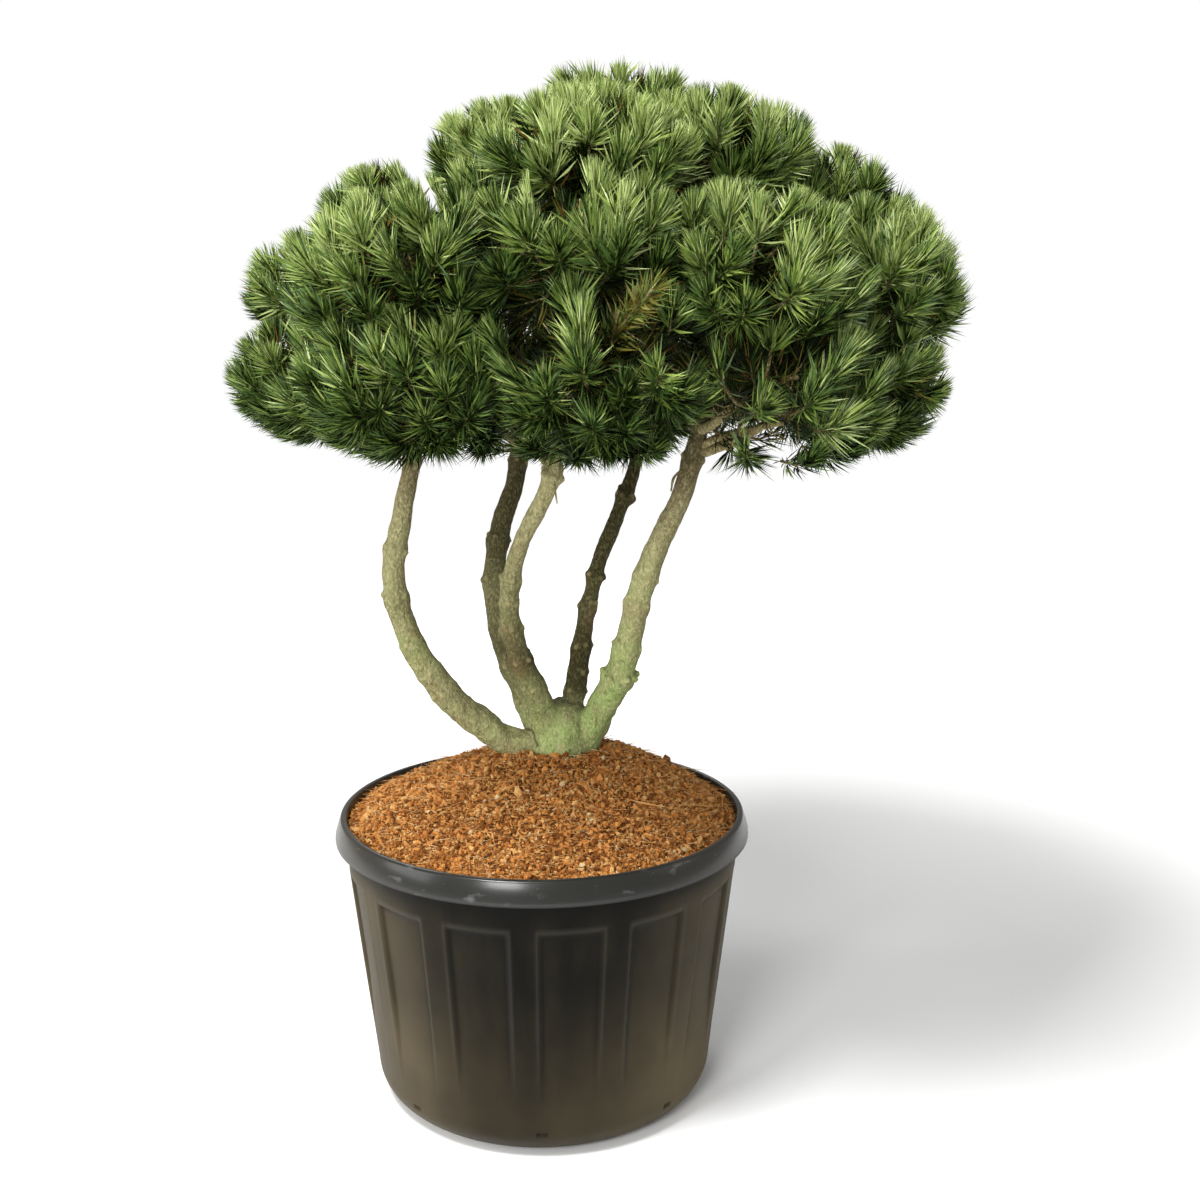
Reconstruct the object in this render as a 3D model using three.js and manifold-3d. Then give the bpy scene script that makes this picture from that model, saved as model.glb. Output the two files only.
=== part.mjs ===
// Mugo pine on five stems, with a clipped dome of a crown, in a large round nursery pot.
// Millimetres, +Z up, +Y to the back. The origin is the centre of the pot's flat underside.
import * as THREE from 'three';
import { mergeVertices } from 'three/addons/utils/BufferGeometryUtils.js';
import Module from 'manifold-3d';

const wasm = await Module();
wasm.setup();

// ---------------------------------------------------------------------------
// Driving dimensions
// ---------------------------------------------------------------------------

// Clearance between two pieces that meet.
const GAP = 0.3;

const pot = {
  height: 520,
  rimRadius: 372.5,
  rimTopRadius: 362,
  rimBand: 40,
  neckRadius: 355.5,
  footRadius: 307,
  footRound: 60,
  wall: 6,
  floor: 8,
  sides: 84,
  panels: 14,
  panelShare: 0.55,
  panelDepth: 3,
  panelLow: 95,
  panelHigh: 425,
  panelTurn: -2.14,
  lipWidth: 10,
  lipRound: 5,
  skirtDrop: 2,
};

// How far up the bevels at the foot and at the head of a panel run.
const panelBevel = { foot: 28, head: 7 };

// Drainage slots through the rounded foot of the wall.
const drain = { count: 8, width: 22, height: 12, lift: 42, depth: 46, inset: 8, turn: -88.5 };

// The soil's top: its height at the edge and at the crest, and how full the mound is between.
const soil = {
  edge: 503,
  crest: 614,
  flatRadius: 80,
  fullness: 1.35,
  edgeGap: 4,
  sides: 36,
  rings: 4,
};

// Each stem: its middle line from foot to tip, its radius at the foot, at the bend and at
// the tip, the height where it is split, and the heights of its whorl knots.
const stems = {
  left: {
    line: [[16, 22, 622], [-58, 16, 632], [-112, 6, 672], [-158, -4, 716], [-226, -14, 818],
      [-256, -24, 940], [-236, -33, 1062], [-214, -42, 1180], [-232, -46, 1300],
      [-246, -50, 1425]],
    radii: [29, 21, 9],
    split: 860,
    knots: [905, 992, 1150],
  },
  back: {
    line: [[2, 42, 630], [-34, 50, 724], [-72, 70, 812], [-90, 104, 930],
      [-80, 132, 1010], [-52, 154, 1100], [-44, 150, 1300], [-56, 105, 1525]],
    radii: [28, 21, 9],
    split: 880,
    knots: [765, 985, 1130],
  },
  front: {
    line: [[24, 14, 630], [-5, -22, 724], [-38, -50, 810], [-52, -78, 905],
      [-29, -108, 1013], [20, -138, 1118], [50, -160, 1270], [78, -190, 1470]],
    radii: [27, 17, 9],
    split: 880,
    knots: [860, 985, 1132],
  },
  slim: {
    line: [[46, 36, 630], [64, 52, 760], [82, 76, 870], [105, 95, 960],
      [146, 120, 1060], [174, 138, 1150], [180, 122, 1350], [160, 62, 1575]],
    radii: [20, 14.5, 8],
    split: 905,
    knots: [752, 900, 1068],
  },
  right: {
    line: [[66, 14, 625], [112, -6, 712], [141, -26, 780], [168, -50, 900],
      [200, -68, 1000], [243, -88, 1100], [276, -100, 1240], [318, -90, 1500]],
    radii: [30, 22, 9],
    split: 890,
    knots: [772, 915, 1150],
  },
};

const stemSides = 8;
const stemRow = 72;
const knot = { swell: 0.2, halfLength: 13, sharpness: 1.2 };

// The root crown is cut flat at the soil, and carries a stub of each stem.
const rootCrown = {
  x: 36,
  y: 24,
  base: 614,
  spread: 68,
  waist: 57,
  shoulder: 53,
  waistShare: 0.35,
  shoulderShare: 0.8,
  top: 704,
  stubTop: 724,
  stubRow: 54,
  sides: 11,
};

// The crown: a dome over a short upright side. Its masses stand in tiers round its middle
// line. Every tier gives the height of its masses, how far out they stand, their half-width
// and half-height, and their azimuths.
const crown = { x: 95, y: 0, depth: 0.94, reach: 624, eave: 1360, top: 1812, bottom: 1160 };

const tiers = [
  { tier: 'low', height: 1275, out: 438, half: [206, 150],
    at: { left: 193, front_left: 235, front: 271, front_right: 304, right: 339,
      back_right: 20, back: 80, back_left: 144 } },
  { tier: 'mid', height: 1432, out: 424, half: [200, 152],
    at: { left: 186, front_left: 232, front: 267, front_right: 301, right: 347,
      back_right: 32, back: 84, back_left: 142 } },
  { tier: 'high', height: 1570, out: 340, half: [190, 150],
    at: { left: 190, front_left: 222, front: 268, right: 358, back_right: 50, back: 116 } },
  { tier: 'top', height: 1662, out: 165, half: [182, 156],
    at: { left: 150, middle: 40, right: 333 } },
];

// Where a mass stands off its tier, in millimetres, and how large it is: [outward, up, size].
const nudges = {
  low_left: [26, 14, 0.82],
  low_front_left: [0, 18, 1],
  low_front: [0, 35, 1],
  low_right: [10, 14, 0.94],
  low_back_right: [-10, 10, 1.1],
  low_back: [-10, 10, 1.12],
  low_back_left: [-10, 10, 1.1],
  mid_left: [30, 0, 0.76],
  mid_front: [-50, 25, 1],
  mid_right: [24, 2, 1.02],
  mid_back_right: [-10, 0, 1.08],
  high_left: [-6, -22, 0.72],
  high_front_left: [-92, -62, 0.86],
  high_front: [-85, 20, 1.04],
  high_right: [28, -16, 1],
  high_back_right: [-22, 0, 1.1],
  high_back: [-36, 6, 1.1],
  top_left: [16, -18, 0.8],
  top_middle: [-115, 20, 1.06],
  top_right: [44, -50, 1],
};

// Masses that a stem's own tip feeds. The other masses have a bough from a stem, which
// leaves it at the height given.
const leaders = {
  high_left: 'left', top_left: 'back', high_front: 'front', top_middle: 'slim', top_right: 'right',
};

const boughs = {
  low_left: ['left', 1195],
  mid_left: ['left', 1290],
  low_back_left: ['left', 1235],
  low_front_left: ['front', 1160],
  mid_front_left: ['front', 1235],
  low_front: ['front', 1200],
  mid_front: ['front', 1300],
  low_back: ['back', 1190],
  mid_back_left: ['back', 1260],
  mid_back: ['back', 1310],
  high_back: ['back', 1385],
  high_front_left: ['front', 1345],
  low_back_right: ['slim', 1200],
  mid_back_right: ['slim', 1275],
  high_back_right: ['slim', 1370],
  low_right: ['right', 1165],
  low_front_right: ['right', 1205],
  mid_front_right: ['right', 1265],
  mid_right: ['right', 1310],
  high_right: ['right', 1375],
};

// A bough's foot is a share of its stem's width. It ends a little outside its mass's core.
const bough = { share: 0.62, tipRadius: 6.5, sides: 5, steps: 4, sag: 0.3, coreGap: 0.08 };

// The one stem inside a mass, from its bough's tip to near the mass's middle.
const twig = { radius: 5.5, straight: 20, short: 0.3 };

// Foliage: a core inside each mass, shoots that stand out of it, and needles on the shoots.
// Shares of a mass's half-size: core, seam, footShare. Shares of a shoot: bare, broad, heart.
// Cosines to the way out of the crown: hidden, under.
const foliage = {
  core: 0.65,
  coreJitter: 0.1,
  coreFit: 0.97,
  footShare: 0.9,
  spacing: 119,
  spread: 0.8,
  shoot: 72,
  shootRadius: 9,
  sunk: 14,
  bare: 0.36,
  broad: 0.66,
  heart: 0.6,
  whorl: 3,
  needle: 60,
  openAngles: [28, 74],
  angleJitter: 8,
  upward: 0.5,
  upwardBelow: 0.05,
  under: -0.3,
  coreNeedle: 52,
  coreLean: 0.9,
  rootClear: 30,
  gap: 1.2,
  tipGap: 8,
  shootGap: 20,
  least: 0.45,
  seam: 0.55,
  hidden: -0.25,
  firstSeed: 101,
};

const colours = {
  pot: { color: 0x2b2d2e, roughness: 0.42, metalness: 0 },
  soil: { color: 0x9a5a2c, roughness: 0.95, metalness: 0 },
  bark: { color: 0x7a7748, roughness: 0.85, metalness: 0 },
  needles: { color: 0x4b7a3a, roughness: 0.6, metalness: 0 },
};

// ---------------------------------------------------------------------------
// Small tools: random numbers, solids and meshes
// ---------------------------------------------------------------------------

// A repeatable stream of random numbers from 0 to 1 (mulberry32).
function randomFrom(seed) {
  let state = seed >>> 0;
  return () => {
    state = (state + 0x6d2b79f5) >>> 0;
    let t = state;
    t = Math.imul(t ^ (t >>> 15), t | 1);
    t ^= t + Math.imul(t ^ (t >>> 7), t | 61);
    return ((t ^ (t >>> 14)) >>> 0) / 4294967296;
  };
}

function vec(point) {
  return new THREE.Vector3(...point);
}

function solidOf(geometry) {
  const bare = geometry.clone();
  bare.deleteAttribute('normal');
  bare.deleteAttribute('uv');
  const merged = mergeVertices(bare, 1e-4);
  const vertProperties = new Float32Array(merged.attributes.position.array);
  const triVerts = new Uint32Array(merged.index.array);
  return new wasm.Manifold(new wasm.Mesh({ numProp: 3, vertProperties, triVerts }));
}

function geometryOf(solid) {
  const mesh = solid.getMesh();
  const geometry = new THREE.BufferGeometry();
  geometry.setAttribute('position', new THREE.BufferAttribute(mesh.vertProperties, 3));
  geometry.setIndex(new THREE.BufferAttribute(mesh.triVerts, 1));
  return geometry;
}

// The largest body of a solid: the scraps that a cut leaves are dropped.
function largest(solid) {
  const bodies = solid.decompose();
  return bodies.reduce((best, body) => (body.volume() > best.volume() ? body : best));
}

function boxesMeet(a, b) {
  const p = a.boundingBox();
  const q = b.boundingBox();
  return [0, 1, 2].every((i) => p.min[i] <= q.max[i] && q.min[i] <= p.max[i]);
}

function cutClear(solid, obstacles) {
  let result = solid;
  for (const obstacle of obstacles) {
    if (boxesMeet(result, obstacle)) {
      result = result.subtract(obstacle);
    }
  }
  return largest(result);
}

const plant = new THREE.Group();

function addPiece(name, geometry, look) {
  geometry.computeVertexNormals();
  const mesh = new THREE.Mesh(geometry, new THREE.MeshStandardMaterial(colours[look]));
  mesh.name = name;
  plant.add(mesh);
}

// ---------------------------------------------------------------------------
// Pot: a turned shell whose outer wall is drawn in between its ribs
// ---------------------------------------------------------------------------

// Whether an angle round the pot lies on a panel, and not on a rib between two.
function onPanel(angle) {
  const pitch = (2 * Math.PI) / pot.panels;
  const turned = angle - THREE.MathUtils.degToRad(pot.panelTurn);
  const fromMiddle = THREE.MathUtils.euclideanModulo(turned / pitch + 0.5, 1) - 0.5;
  return Math.abs(fromMiddle) < pot.panelShare / 2;
}

function wallRadius(height) {
  const share = (height - pot.footRound) / (pot.height - pot.rimBand - pot.footRound);
  return THREE.MathUtils.lerp(pot.footRadius, pot.neckRadius, share);
}

// The quarter round at the foot of the wall, from the flat underside up.
function footArc(steps) {
  const points = [];
  for (let i = 0; i <= steps; i += 1) {
    const angle = (Math.PI / 2) * (i / steps);
    const radius = pot.footRadius - pot.footRound * (1 - Math.sin(angle));
    points.push([radius, pot.footRound * (1 - Math.cos(angle))]);
  }
  return points;
}

function potProfile() {
  const skirt = pot.height - pot.rimBand;
  const panelFoot = pot.panelLow + panelBevel.foot;
  const panelHead = pot.panelHigh - panelBevel.head;
  const inner = (height) => wallRadius(height) - pot.wall;
  return [
    [0, 0],
    ...footArc(3),
    [wallRadius(pot.panelLow), pot.panelLow],
    [wallRadius(panelFoot), panelFoot],
    [wallRadius(panelHead), panelHead],
    [wallRadius(pot.panelHigh), pot.panelHigh],
    [pot.neckRadius, skirt],
    [pot.rimRadius, skirt - pot.skirtDrop],
    [pot.rimTopRadius, pot.height - pot.lipRound],
    [pot.rimTopRadius - pot.lipWidth / 2, pot.height],
    [pot.rimTopRadius - pot.lipWidth, pot.height - pot.lipRound],
    [inner(skirt), skirt],
    [inner(pot.footRound), pot.footRound + pot.floor],
    [pot.footRadius - pot.footRound, pot.floor],
    [0, pot.floor],
  ];
}

function buildPot() {
  const points = potProfile().map(([r, z]) => new THREE.Vector2(r, z));
  const shell = new THREE.LatheGeometry(points, pot.sides);
  shell.rotateX(Math.PI / 2);
  const position = shell.attributes.position;
  for (let i = 0; i < position.count; i += 1) {
    const x = position.getX(i);
    const y = position.getY(i);
    const z = position.getZ(i);
    const radius = Math.hypot(x, y);
    const outside = radius > wallRadius(z) - pot.wall / 2;
    const betweenEnds = z > pot.panelLow + GAP && z < pot.panelHigh - GAP;
    if (outside && betweenEnds && onPanel(Math.atan2(y, x))) {
      const share = (radius - pot.panelDepth) / radius;
      position.setXY(i, x * share, y * share);
    }
  }
  let solid = solidOf(shell);
  for (let i = 0; i < drain.count; i += 1) {
    const slot = new THREE.BoxGeometry(drain.depth, drain.width, drain.height);
    slot.translate(pot.footRadius - drain.inset, 0, drain.lift + drain.height / 2);
    slot.rotateZ(THREE.MathUtils.degToRad(drain.turn + (360 / drain.count) * i));
    solid = solid.subtract(solidOf(slot));
  }
  return solid;
}

// ---------------------------------------------------------------------------
// Soil: it fills the pot and mounds up to a flat place under the root crown
// ---------------------------------------------------------------------------

function buildSoil() {
  const clear = 2 * GAP;
  const skirt = pot.height - pot.rimBand;
  const inner = (height) => wallRadius(height) - pot.wall - clear;
  const edge = pot.rimTopRadius - pot.lipWidth - soil.edgeGap - clear;
  const profile = [
    [0, pot.floor + GAP],
    [pot.footRadius - pot.footRound - 2 * clear, pot.floor + GAP],
    [inner(pot.footRound) - clear, pot.footRound + pot.floor],
    [inner(skirt), skirt],
  ];
  for (let i = soil.rings; i >= 0; i -= 1) {
    const share = i / soil.rings;
    const fall = (soil.crest - soil.edge) * share ** soil.fullness;
    profile.push([THREE.MathUtils.lerp(soil.flatRadius, edge, share), soil.crest - fall]);
  }
  profile.push([0, soil.crest]);
  const shape = new THREE.LatheGeometry(profile.map(([r, z]) => new THREE.Vector2(r, z)), soil.sides);
  shape.rotateX(Math.PI / 2);
  const position = shape.attributes.position;
  for (let i = 0; i < position.count; i += 1) {
    const rise = Math.max(0, (position.getZ(i) - soil.edge) / (soil.crest - soil.edge));
    const x = position.getX(i) + rootCrown.x * rise;
    position.setXY(i, x, position.getY(i) + rootCrown.y * rise);
  }
  return solidOf(shape);
}

// ---------------------------------------------------------------------------
// Limbs: a straight cylinder bent along a curve and tapered, with whorl knots
// ---------------------------------------------------------------------------

// Where a curve first reaches a height, from 0 at its foot to 1 at its tip.
function shareAtHeight(curve, height) {
  let low = 0;
  let high = 1;
  for (let i = 0; i < 30; i += 1) {
    const middle = (low + high) / 2;
    if (curve.getPointAt(middle).z < height) {
      low = middle;
    } else {
      high = middle;
    }
  }
  return low;
}

// A closed limb whose rows stand at the given stations along its curve.
function bendAlong(limb, stations, grow = 0) {
  const { curve, radiusAt, sides } = limb;
  const rows = stations.length - 1;
  const shape = new THREE.CylinderGeometry(1, 1, rows, sides, rows);
  shape.rotateX(Math.PI / 2);
  const position = shape.attributes.position;
  const chord = curve.getPointAt(1).sub(curve.getPointAt(0));
  const runsBack = Math.abs(chord.y) > Math.abs(chord.x) + Math.abs(chord.z) / 2;
  const level = runsBack ? new THREE.Vector3(1, 0, 0) : new THREE.Vector3(0, 1, 0);
  const fat = grow / Math.cos(Math.PI / sides);
  for (let i = 0; i < position.count; i += 1) {
    const share = stations[Math.round(position.getZ(i) + rows / 2)];
    const tangent = curve.getTangentAt(share);
    const side = new THREE.Vector3().crossVectors(level, tangent).normalize();
    const over = new THREE.Vector3().crossVectors(tangent, side);
    const radius = radiusAt(share) + fat;
    const point = curve.getPointAt(share);
    point.addScaledVector(side, position.getX(i) * radius);
    point.addScaledVector(over, position.getY(i) * radius);
    position.setXYZ(i, point.x, point.y, point.z);
  }
  return shape;
}

function evenStations(from, to, count) {
  return Array.from({ length: count + 1 }, (_, i) => THREE.MathUtils.lerp(from, to, i / count));
}

// Rows on both sides and at the middle of each knot, and even rows between the knots.
function stemStations(limb, from, to) {
  const reach = knot.halfLength / limb.length;
  const stations = [from];
  const marks = limb.knots.filter((at) => at - 2 * reach > from && at + 2 * reach < to);
  for (const at of [...marks, null]) {
    const last = stations.at(-1);
    const next = at === null ? to : at - reach;
    const count = Math.max(1, Math.round((next - last) * limb.length / stemRow));
    stations.push(...evenStations(last, next, count).slice(1));
    if (at !== null) {
      stations.push(at, at + reach);
    }
  }
  return stations;
}

function stemLimb(spec) {
  const curve = new THREE.CatmullRomCurve3(spec.line.map(vec), false, 'centripetal');
  curve.arcLengthDivisions = 400;
  const length = curve.getLength();
  const knots = spec.knots.map((height) => shareAtHeight(curve, height));
  const [foot, bend, tip] = spec.radii;
  const bendShare = shareAtHeight(curve, spec.split);
  const radiusAt = (share) => {
    const taper = share < bendShare
      ? THREE.MathUtils.lerp(foot, bend, share / bendShare)
      : THREE.MathUtils.lerp(bend, tip, (share - bendShare) / (1 - bendShare));
    const off = (at) => (share - at) * length * knot.sharpness / knot.halfLength;
    const swell = (at) => Math.exp(-(off(at) ** 2));
    return taper * (1 + knot.swell * knots.reduce((sum, at) => sum + swell(at), 0));
  };
  return { curve, radiusAt, knots, length, sides: stemSides };
}

const stemLimbs = Object.fromEntries(
  Object.entries(stems).map(([name, spec]) => [name, stemLimb(spec)]),
);

function buildRootCrown() {
  const { x, y, base, spread, waist, shoulder, top, stubTop } = rootCrown;
  const foot = base + GAP;
  const outline = [
    [0, foot],
    [spread, foot],
    [waist, THREE.MathUtils.lerp(base, top, rootCrown.waistShare)],
    [shoulder, THREE.MathUtils.lerp(base, top, rootCrown.shoulderShare)],
    [0, top],
  ];
  const points = outline.map(([r, z]) => new THREE.Vector2(r, z));
  const stump = new THREE.LatheGeometry(points, rootCrown.sides);
  stump.rotateX(Math.PI / 2);
  stump.translate(x, y, 0);
  let solid = solidOf(stump);
  for (const limb of Object.values(stemLimbs)) {
    const to = shareAtHeight(limb.curve, stubTop);
    const rows = Math.round(to * limb.length / rootCrown.stubRow);
    solid = solid.add(solidOf(bendAlong(limb, evenStations(0, to, rows))));
  }
  const below = new THREE.BoxGeometry(2 * pot.rimRadius, 2 * pot.rimRadius, base);
  below.translate(0, 0, foot - base / 2);
  return largest(solid.subtract(solidOf(below)));
}

// ---------------------------------------------------------------------------
// Crown masses and the boughs that carry them
// ---------------------------------------------------------------------------

function placeMasses() {
  const masses = [];
  for (const { tier, height, out, half, at } of tiers) {
    for (const [side, azimuth] of Object.entries(at)) {
      const name = `${tier}_${side}`;
      const [outward, up, size] = nudges[name] ?? [0, 0, 1];
      const angle = THREE.MathUtils.degToRad(azimuth);
      const distance = out + outward;
      const centre = new THREE.Vector3(
        crown.x + distance * Math.cos(angle),
        crown.y + distance * Math.sin(angle) * crown.depth,
        height + up,
      );
      const reach = new THREE.Vector3(half[0], half[0], half[1]).multiplyScalar(size);
      masses.push({ name, centre, half: reach });
    }
  }
  return masses;
}

const masses = placeMasses();

// Every mass keeps to its own side of the planes between it and its neighbours.
function wallsOf(mass) {
  const walls = [{ normal: new THREE.Vector3(0, 0, -1), offset: -crown.bottom }];
  for (const other of masses) {
    if (other !== mass) {
      const normal = other.centre.clone().sub(mass.centre);
      const length = normal.length();
      const power = other.centre.lengthSq() - mass.centre.lengthSq()
        + mass.half.x ** 2 - other.half.x ** 2;
      const offset = power / (2 * length) - foliage.gap;
      walls.push({ normal: normal.divideScalar(length), offset });
    }
  }
  return walls;
}

// A point in the dome's own measure, where the dome is a ball of radius 1 over a drum.
function inDome(point) {
  return new THREE.Vector3(
    (point.x - crown.x) / crown.reach,
    (point.y - crown.y) / (crown.reach * crown.depth),
    Math.max(0, point.z - crown.eave) / (crown.top - crown.eave),
  );
}

// The share of the way between two points that lies inside the ball of radius 1.
function shareInside(start, end) {
  if (end.length() <= 1) {
    return 1;
  }
  const step = end.clone().sub(start);
  const a = step.lengthSq();
  const b = 2 * start.dot(step);
  const c = start.lengthSq() - 1;
  return (-b + Math.sqrt(Math.max(0, b * b - 4 * a * c))) / (2 * a);
}

// The share of the way from one point to another that stays in the mass's own space.
function roomAlong(mass, from, to) {
  const way = to.clone().sub(from);
  let room = 1;
  for (const { normal, offset } of mass.walls) {
    const speed = way.dot(normal);
    if (speed > 1e-9) {
      room = Math.min(room, (offset - from.dot(normal)) / speed);
    }
  }
  const own = (point) => point.clone().sub(mass.centre).divide(mass.half);
  return Math.min(room, shareInside(own(from), own(to)), shareInside(inDome(from), inDome(to)));
}

for (const mass of masses) {
  mass.walls = wallsOf(mass);
}

function massNamed(name) {
  return masses.find((mass) => mass.name === name);
}

// A bough leaves its stem level and turns up into its mass, where it ends short of the core.
function boughLimb(name, [stemName, height]) {
  const mass = massNamed(name);
  const stem = stemLimbs[stemName];
  const leave = shareAtHeight(stem.curve, height);
  const start = stem.curve.getPointAt(leave);
  const inward = start.clone().sub(mass.centre).divide(mass.half).normalize();
  const out = foliage.core + bough.coreGap;
  const tip = mass.centre.clone().addScaledVector(inward.multiply(mass.half), out);
  const middle = start.clone().lerp(tip, 0.5);
  middle.z -= Math.abs(tip.z - start.z) * bough.sag;
  const curve = new THREE.QuadraticBezierCurve3(start, middle, tip);
  const root = stem.radiusAt(leave) * bough.share;
  const radiusAt = (share) => THREE.MathUtils.lerp(root, bough.tipRadius, share);
  return { curve, radiusAt, mass, sides: bough.sides, length: curve.getLength() };
}

const boughLimbs = Object.fromEntries(
  Object.entries(boughs).map(([name, spec]) => [name, boughLimb(name, spec)]),
);

// The limb whose tip a mass's own stem starts from.
function feed(mass, { curve }) {
  mass.feeder = { tip: curve.getPointAt(1), along: curve.getTangentAt(1) };
}

for (const [name, stemName] of Object.entries(leaders)) {
  feed(massNamed(name), stemLimbs[stemName]);
}
for (const limb of Object.values(boughLimbs)) {
  feed(limb.mass, limb);
}

// ---------------------------------------------------------------------------
// Foliage
// ---------------------------------------------------------------------------

function clearOfLimbs(point, limbPoints, margin) {
  return limbPoints.every((limb) => point.distanceTo(limb.point) > limb.radius + margin);
}

// A needle's tip, drawn back into its mass's space. It is null where too little is left of
// the needle or where it would touch a limb.
function fitted(mass, foot, tip, limbPoints) {
  const room = roomAlong(mass, foot, tip);
  tip.lerpVectors(foot, tip, Math.min(1, room));
  const clear = clearOfLimbs(tip, limbPoints, foliage.tipGap);
  return room > foliage.least && clear ? tip : null;
}

// A bare shoot: a slim body, pointed at both ends, from its foot along its axis. Its broad
// ring is turned by half a side against the ring below, so that its faces point all ways.
function bareShoot({ base, axis, length }, spin) {
  const { shootRadius, bare, broad, whorl } = foliage;
  const outline = [[0, 0], [shootRadius * 0.8, bare], [shootRadius, broad], [0, 1]];
  const shape = new THREE.LatheGeometry(outline.map(([r, z]) => new THREE.Vector2(r, z)), whorl);
  const position = shape.attributes.position;
  const up = new THREE.Vector3(0, 1, 0);
  for (let i = 0; i < position.count; i += 1) {
    const point = new THREE.Vector3().fromBufferAttribute(position, i);
    if (point.y > bare && Math.abs(point.y - broad) < 0.01) {
      point.applyAxisAngle(up, Math.PI / whorl);
      position.setXYZ(i, point.x, point.y, point.z);
    }
  }
  shape.rotateY(spin);
  shape.scale(1, length, 1);
  shape.applyQuaternion(new THREE.Quaternion().setFromUnitVectors(up, axis));
  shape.translate(base.x, base.y, base.z);
  shape.deleteAttribute('normal');
  shape.deleteAttribute('uv');
  return mergeVertices(shape, 1e-3);
}

// Each face above a shoot's bare foot becomes a needle, unless the needle has no room. The
// needles open wide low on the shoot and close round its tip.
function needledShoot(mass, shoot, limbPoints, random) {
  const { base, axis, length } = shoot;
  const { bare, needle, openAngles } = foliage;
  return drawNeedles(bareShoot(shoot, random() * Math.PI), (middle) => {
    const outward = middle.clone().sub(base);
    const along = outward.dot(axis);
    outward.addScaledVector(axis, -along).normalize();
    const climb = THREE.MathUtils.clamp((along / length - bare) / (1 - bare), 0, 1);
    const opening = THREE.MathUtils.lerp(openAngles[1], openAngles[0], climb);
    const jitter = (random() - 0.5) * 2 * foliage.angleJitter;
    const angle = THREE.MathUtils.degToRad(opening + jitter);
    const tip = middle.clone();
    tip.addScaledVector(axis, Math.cos(angle) * needle);
    tip.addScaledVector(outward, Math.sin(angle) * needle);
    return along > length * bare ? fitted(mass, middle, tip, limbPoints) : null;
  });
}

// Draws the faces of a closed shape out into needles. aim gives a face's tip, or nothing
// where the face stays plain.
function drawNeedles(shape, aim) {
  const position = shape.attributes.position;
  const points = [];
  for (let i = 0; i < position.count; i += 1) {
    points.push(new THREE.Vector3().fromBufferAttribute(position, i));
  }
  const triangles = [];
  for (let i = 0; i < shape.index.count; i += 3) {
    const [a, b, c] = [0, 1, 2].map((corner) => shape.index.getX(i + corner));
    const middle = points[a].clone().add(points[b]).add(points[c]).divideScalar(3);
    const tip = aim(middle);
    if (tip) {
      const apex = points.length;
      points.push(tip);
      triangles.push(a, b, apex, b, c, apex, c, a, apex);
    } else {
      triangles.push(a, b, c);
    }
  }
  const needled = new THREE.BufferGeometry().setFromPoints(points);
  needled.setIndex(triangles);
  return needled;
}

// A core is a lumpy ball. Needles stand out of its outer faces, between the shoots.
function massCore(mass, roots, limbPoints, random) {
  const ball = new THREE.OctahedronGeometry(1, 2);
  ball.deleteAttribute('normal');
  ball.deleteAttribute('uv');
  const core = mergeVertices(ball, 1e-3);
  const position = core.attributes.position;
  for (let i = 0; i < position.count; i += 1) {
    const swell = foliage.core * (1 + (random() - 0.5) * 2 * foliage.coreJitter);
    const offset = new THREE.Vector3().fromBufferAttribute(position, i).multiply(mass.half);
    const point = mass.centre.clone().addScaledVector(offset, swell);
    const room = roomAlong(mass, mass.centre, point);
    point.lerpVectors(mass.centre, point, Math.min(1, room * foliage.coreFit));
    position.setXYZ(i, point.x, point.y, point.z);
  }
  return drawNeedles(core, (middle) => {
    const lean = middle.clone().sub(mass.centre).normalize();
    const turned = lean.dot(mass.outward);
    lean.x += (random() - 0.5) * foliage.coreLean;
    lean.y += (random() - 0.5) * foliage.coreLean;
    lean.z += random() * foliage.coreLean;
    const tip = middle.clone().addScaledVector(lean.normalize(), foliage.coreNeedle);
    const taken = roots.some((root) => root.distanceTo(middle) < foliage.rootClear);
    return taken || turned < foliage.hidden ? null : fitted(mass, middle, tip, limbPoints);
  });
}

// Directions spread evenly over a sphere, by the golden angle.
function evenDirections(count, turn) {
  const golden = Math.PI * (3 - Math.sqrt(5));
  const directions = [];
  for (let i = 0; i < count; i += 1) {
    const z = 1 - (2 * (i + 0.5)) / count;
    const flat = Math.sqrt(1 - z * z);
    const angle = turn + golden * i;
    directions.push(new THREE.Vector3(flat * Math.cos(angle), flat * Math.sin(angle), z));
  }
  return directions;
}

// Points along the limbs that pass near a mass, with the limb's radius at each.
function limbPointsNear(mass, limbs) {
  const spacing = 12;
  const reach = mass.half.x + foliage.shoot;
  const points = [];
  for (const limb of limbs) {
    const count = Math.ceil(limb.length / spacing);
    for (let i = 0; i <= count; i += 1) {
      const point = limb.curve.getPointAt(i / count);
      if (point.distanceTo(mass.centre) < reach) {
        points.push({ point, radius: limb.radiusAt(i / count) });
      }
    }
  }
  return points;
}

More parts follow.
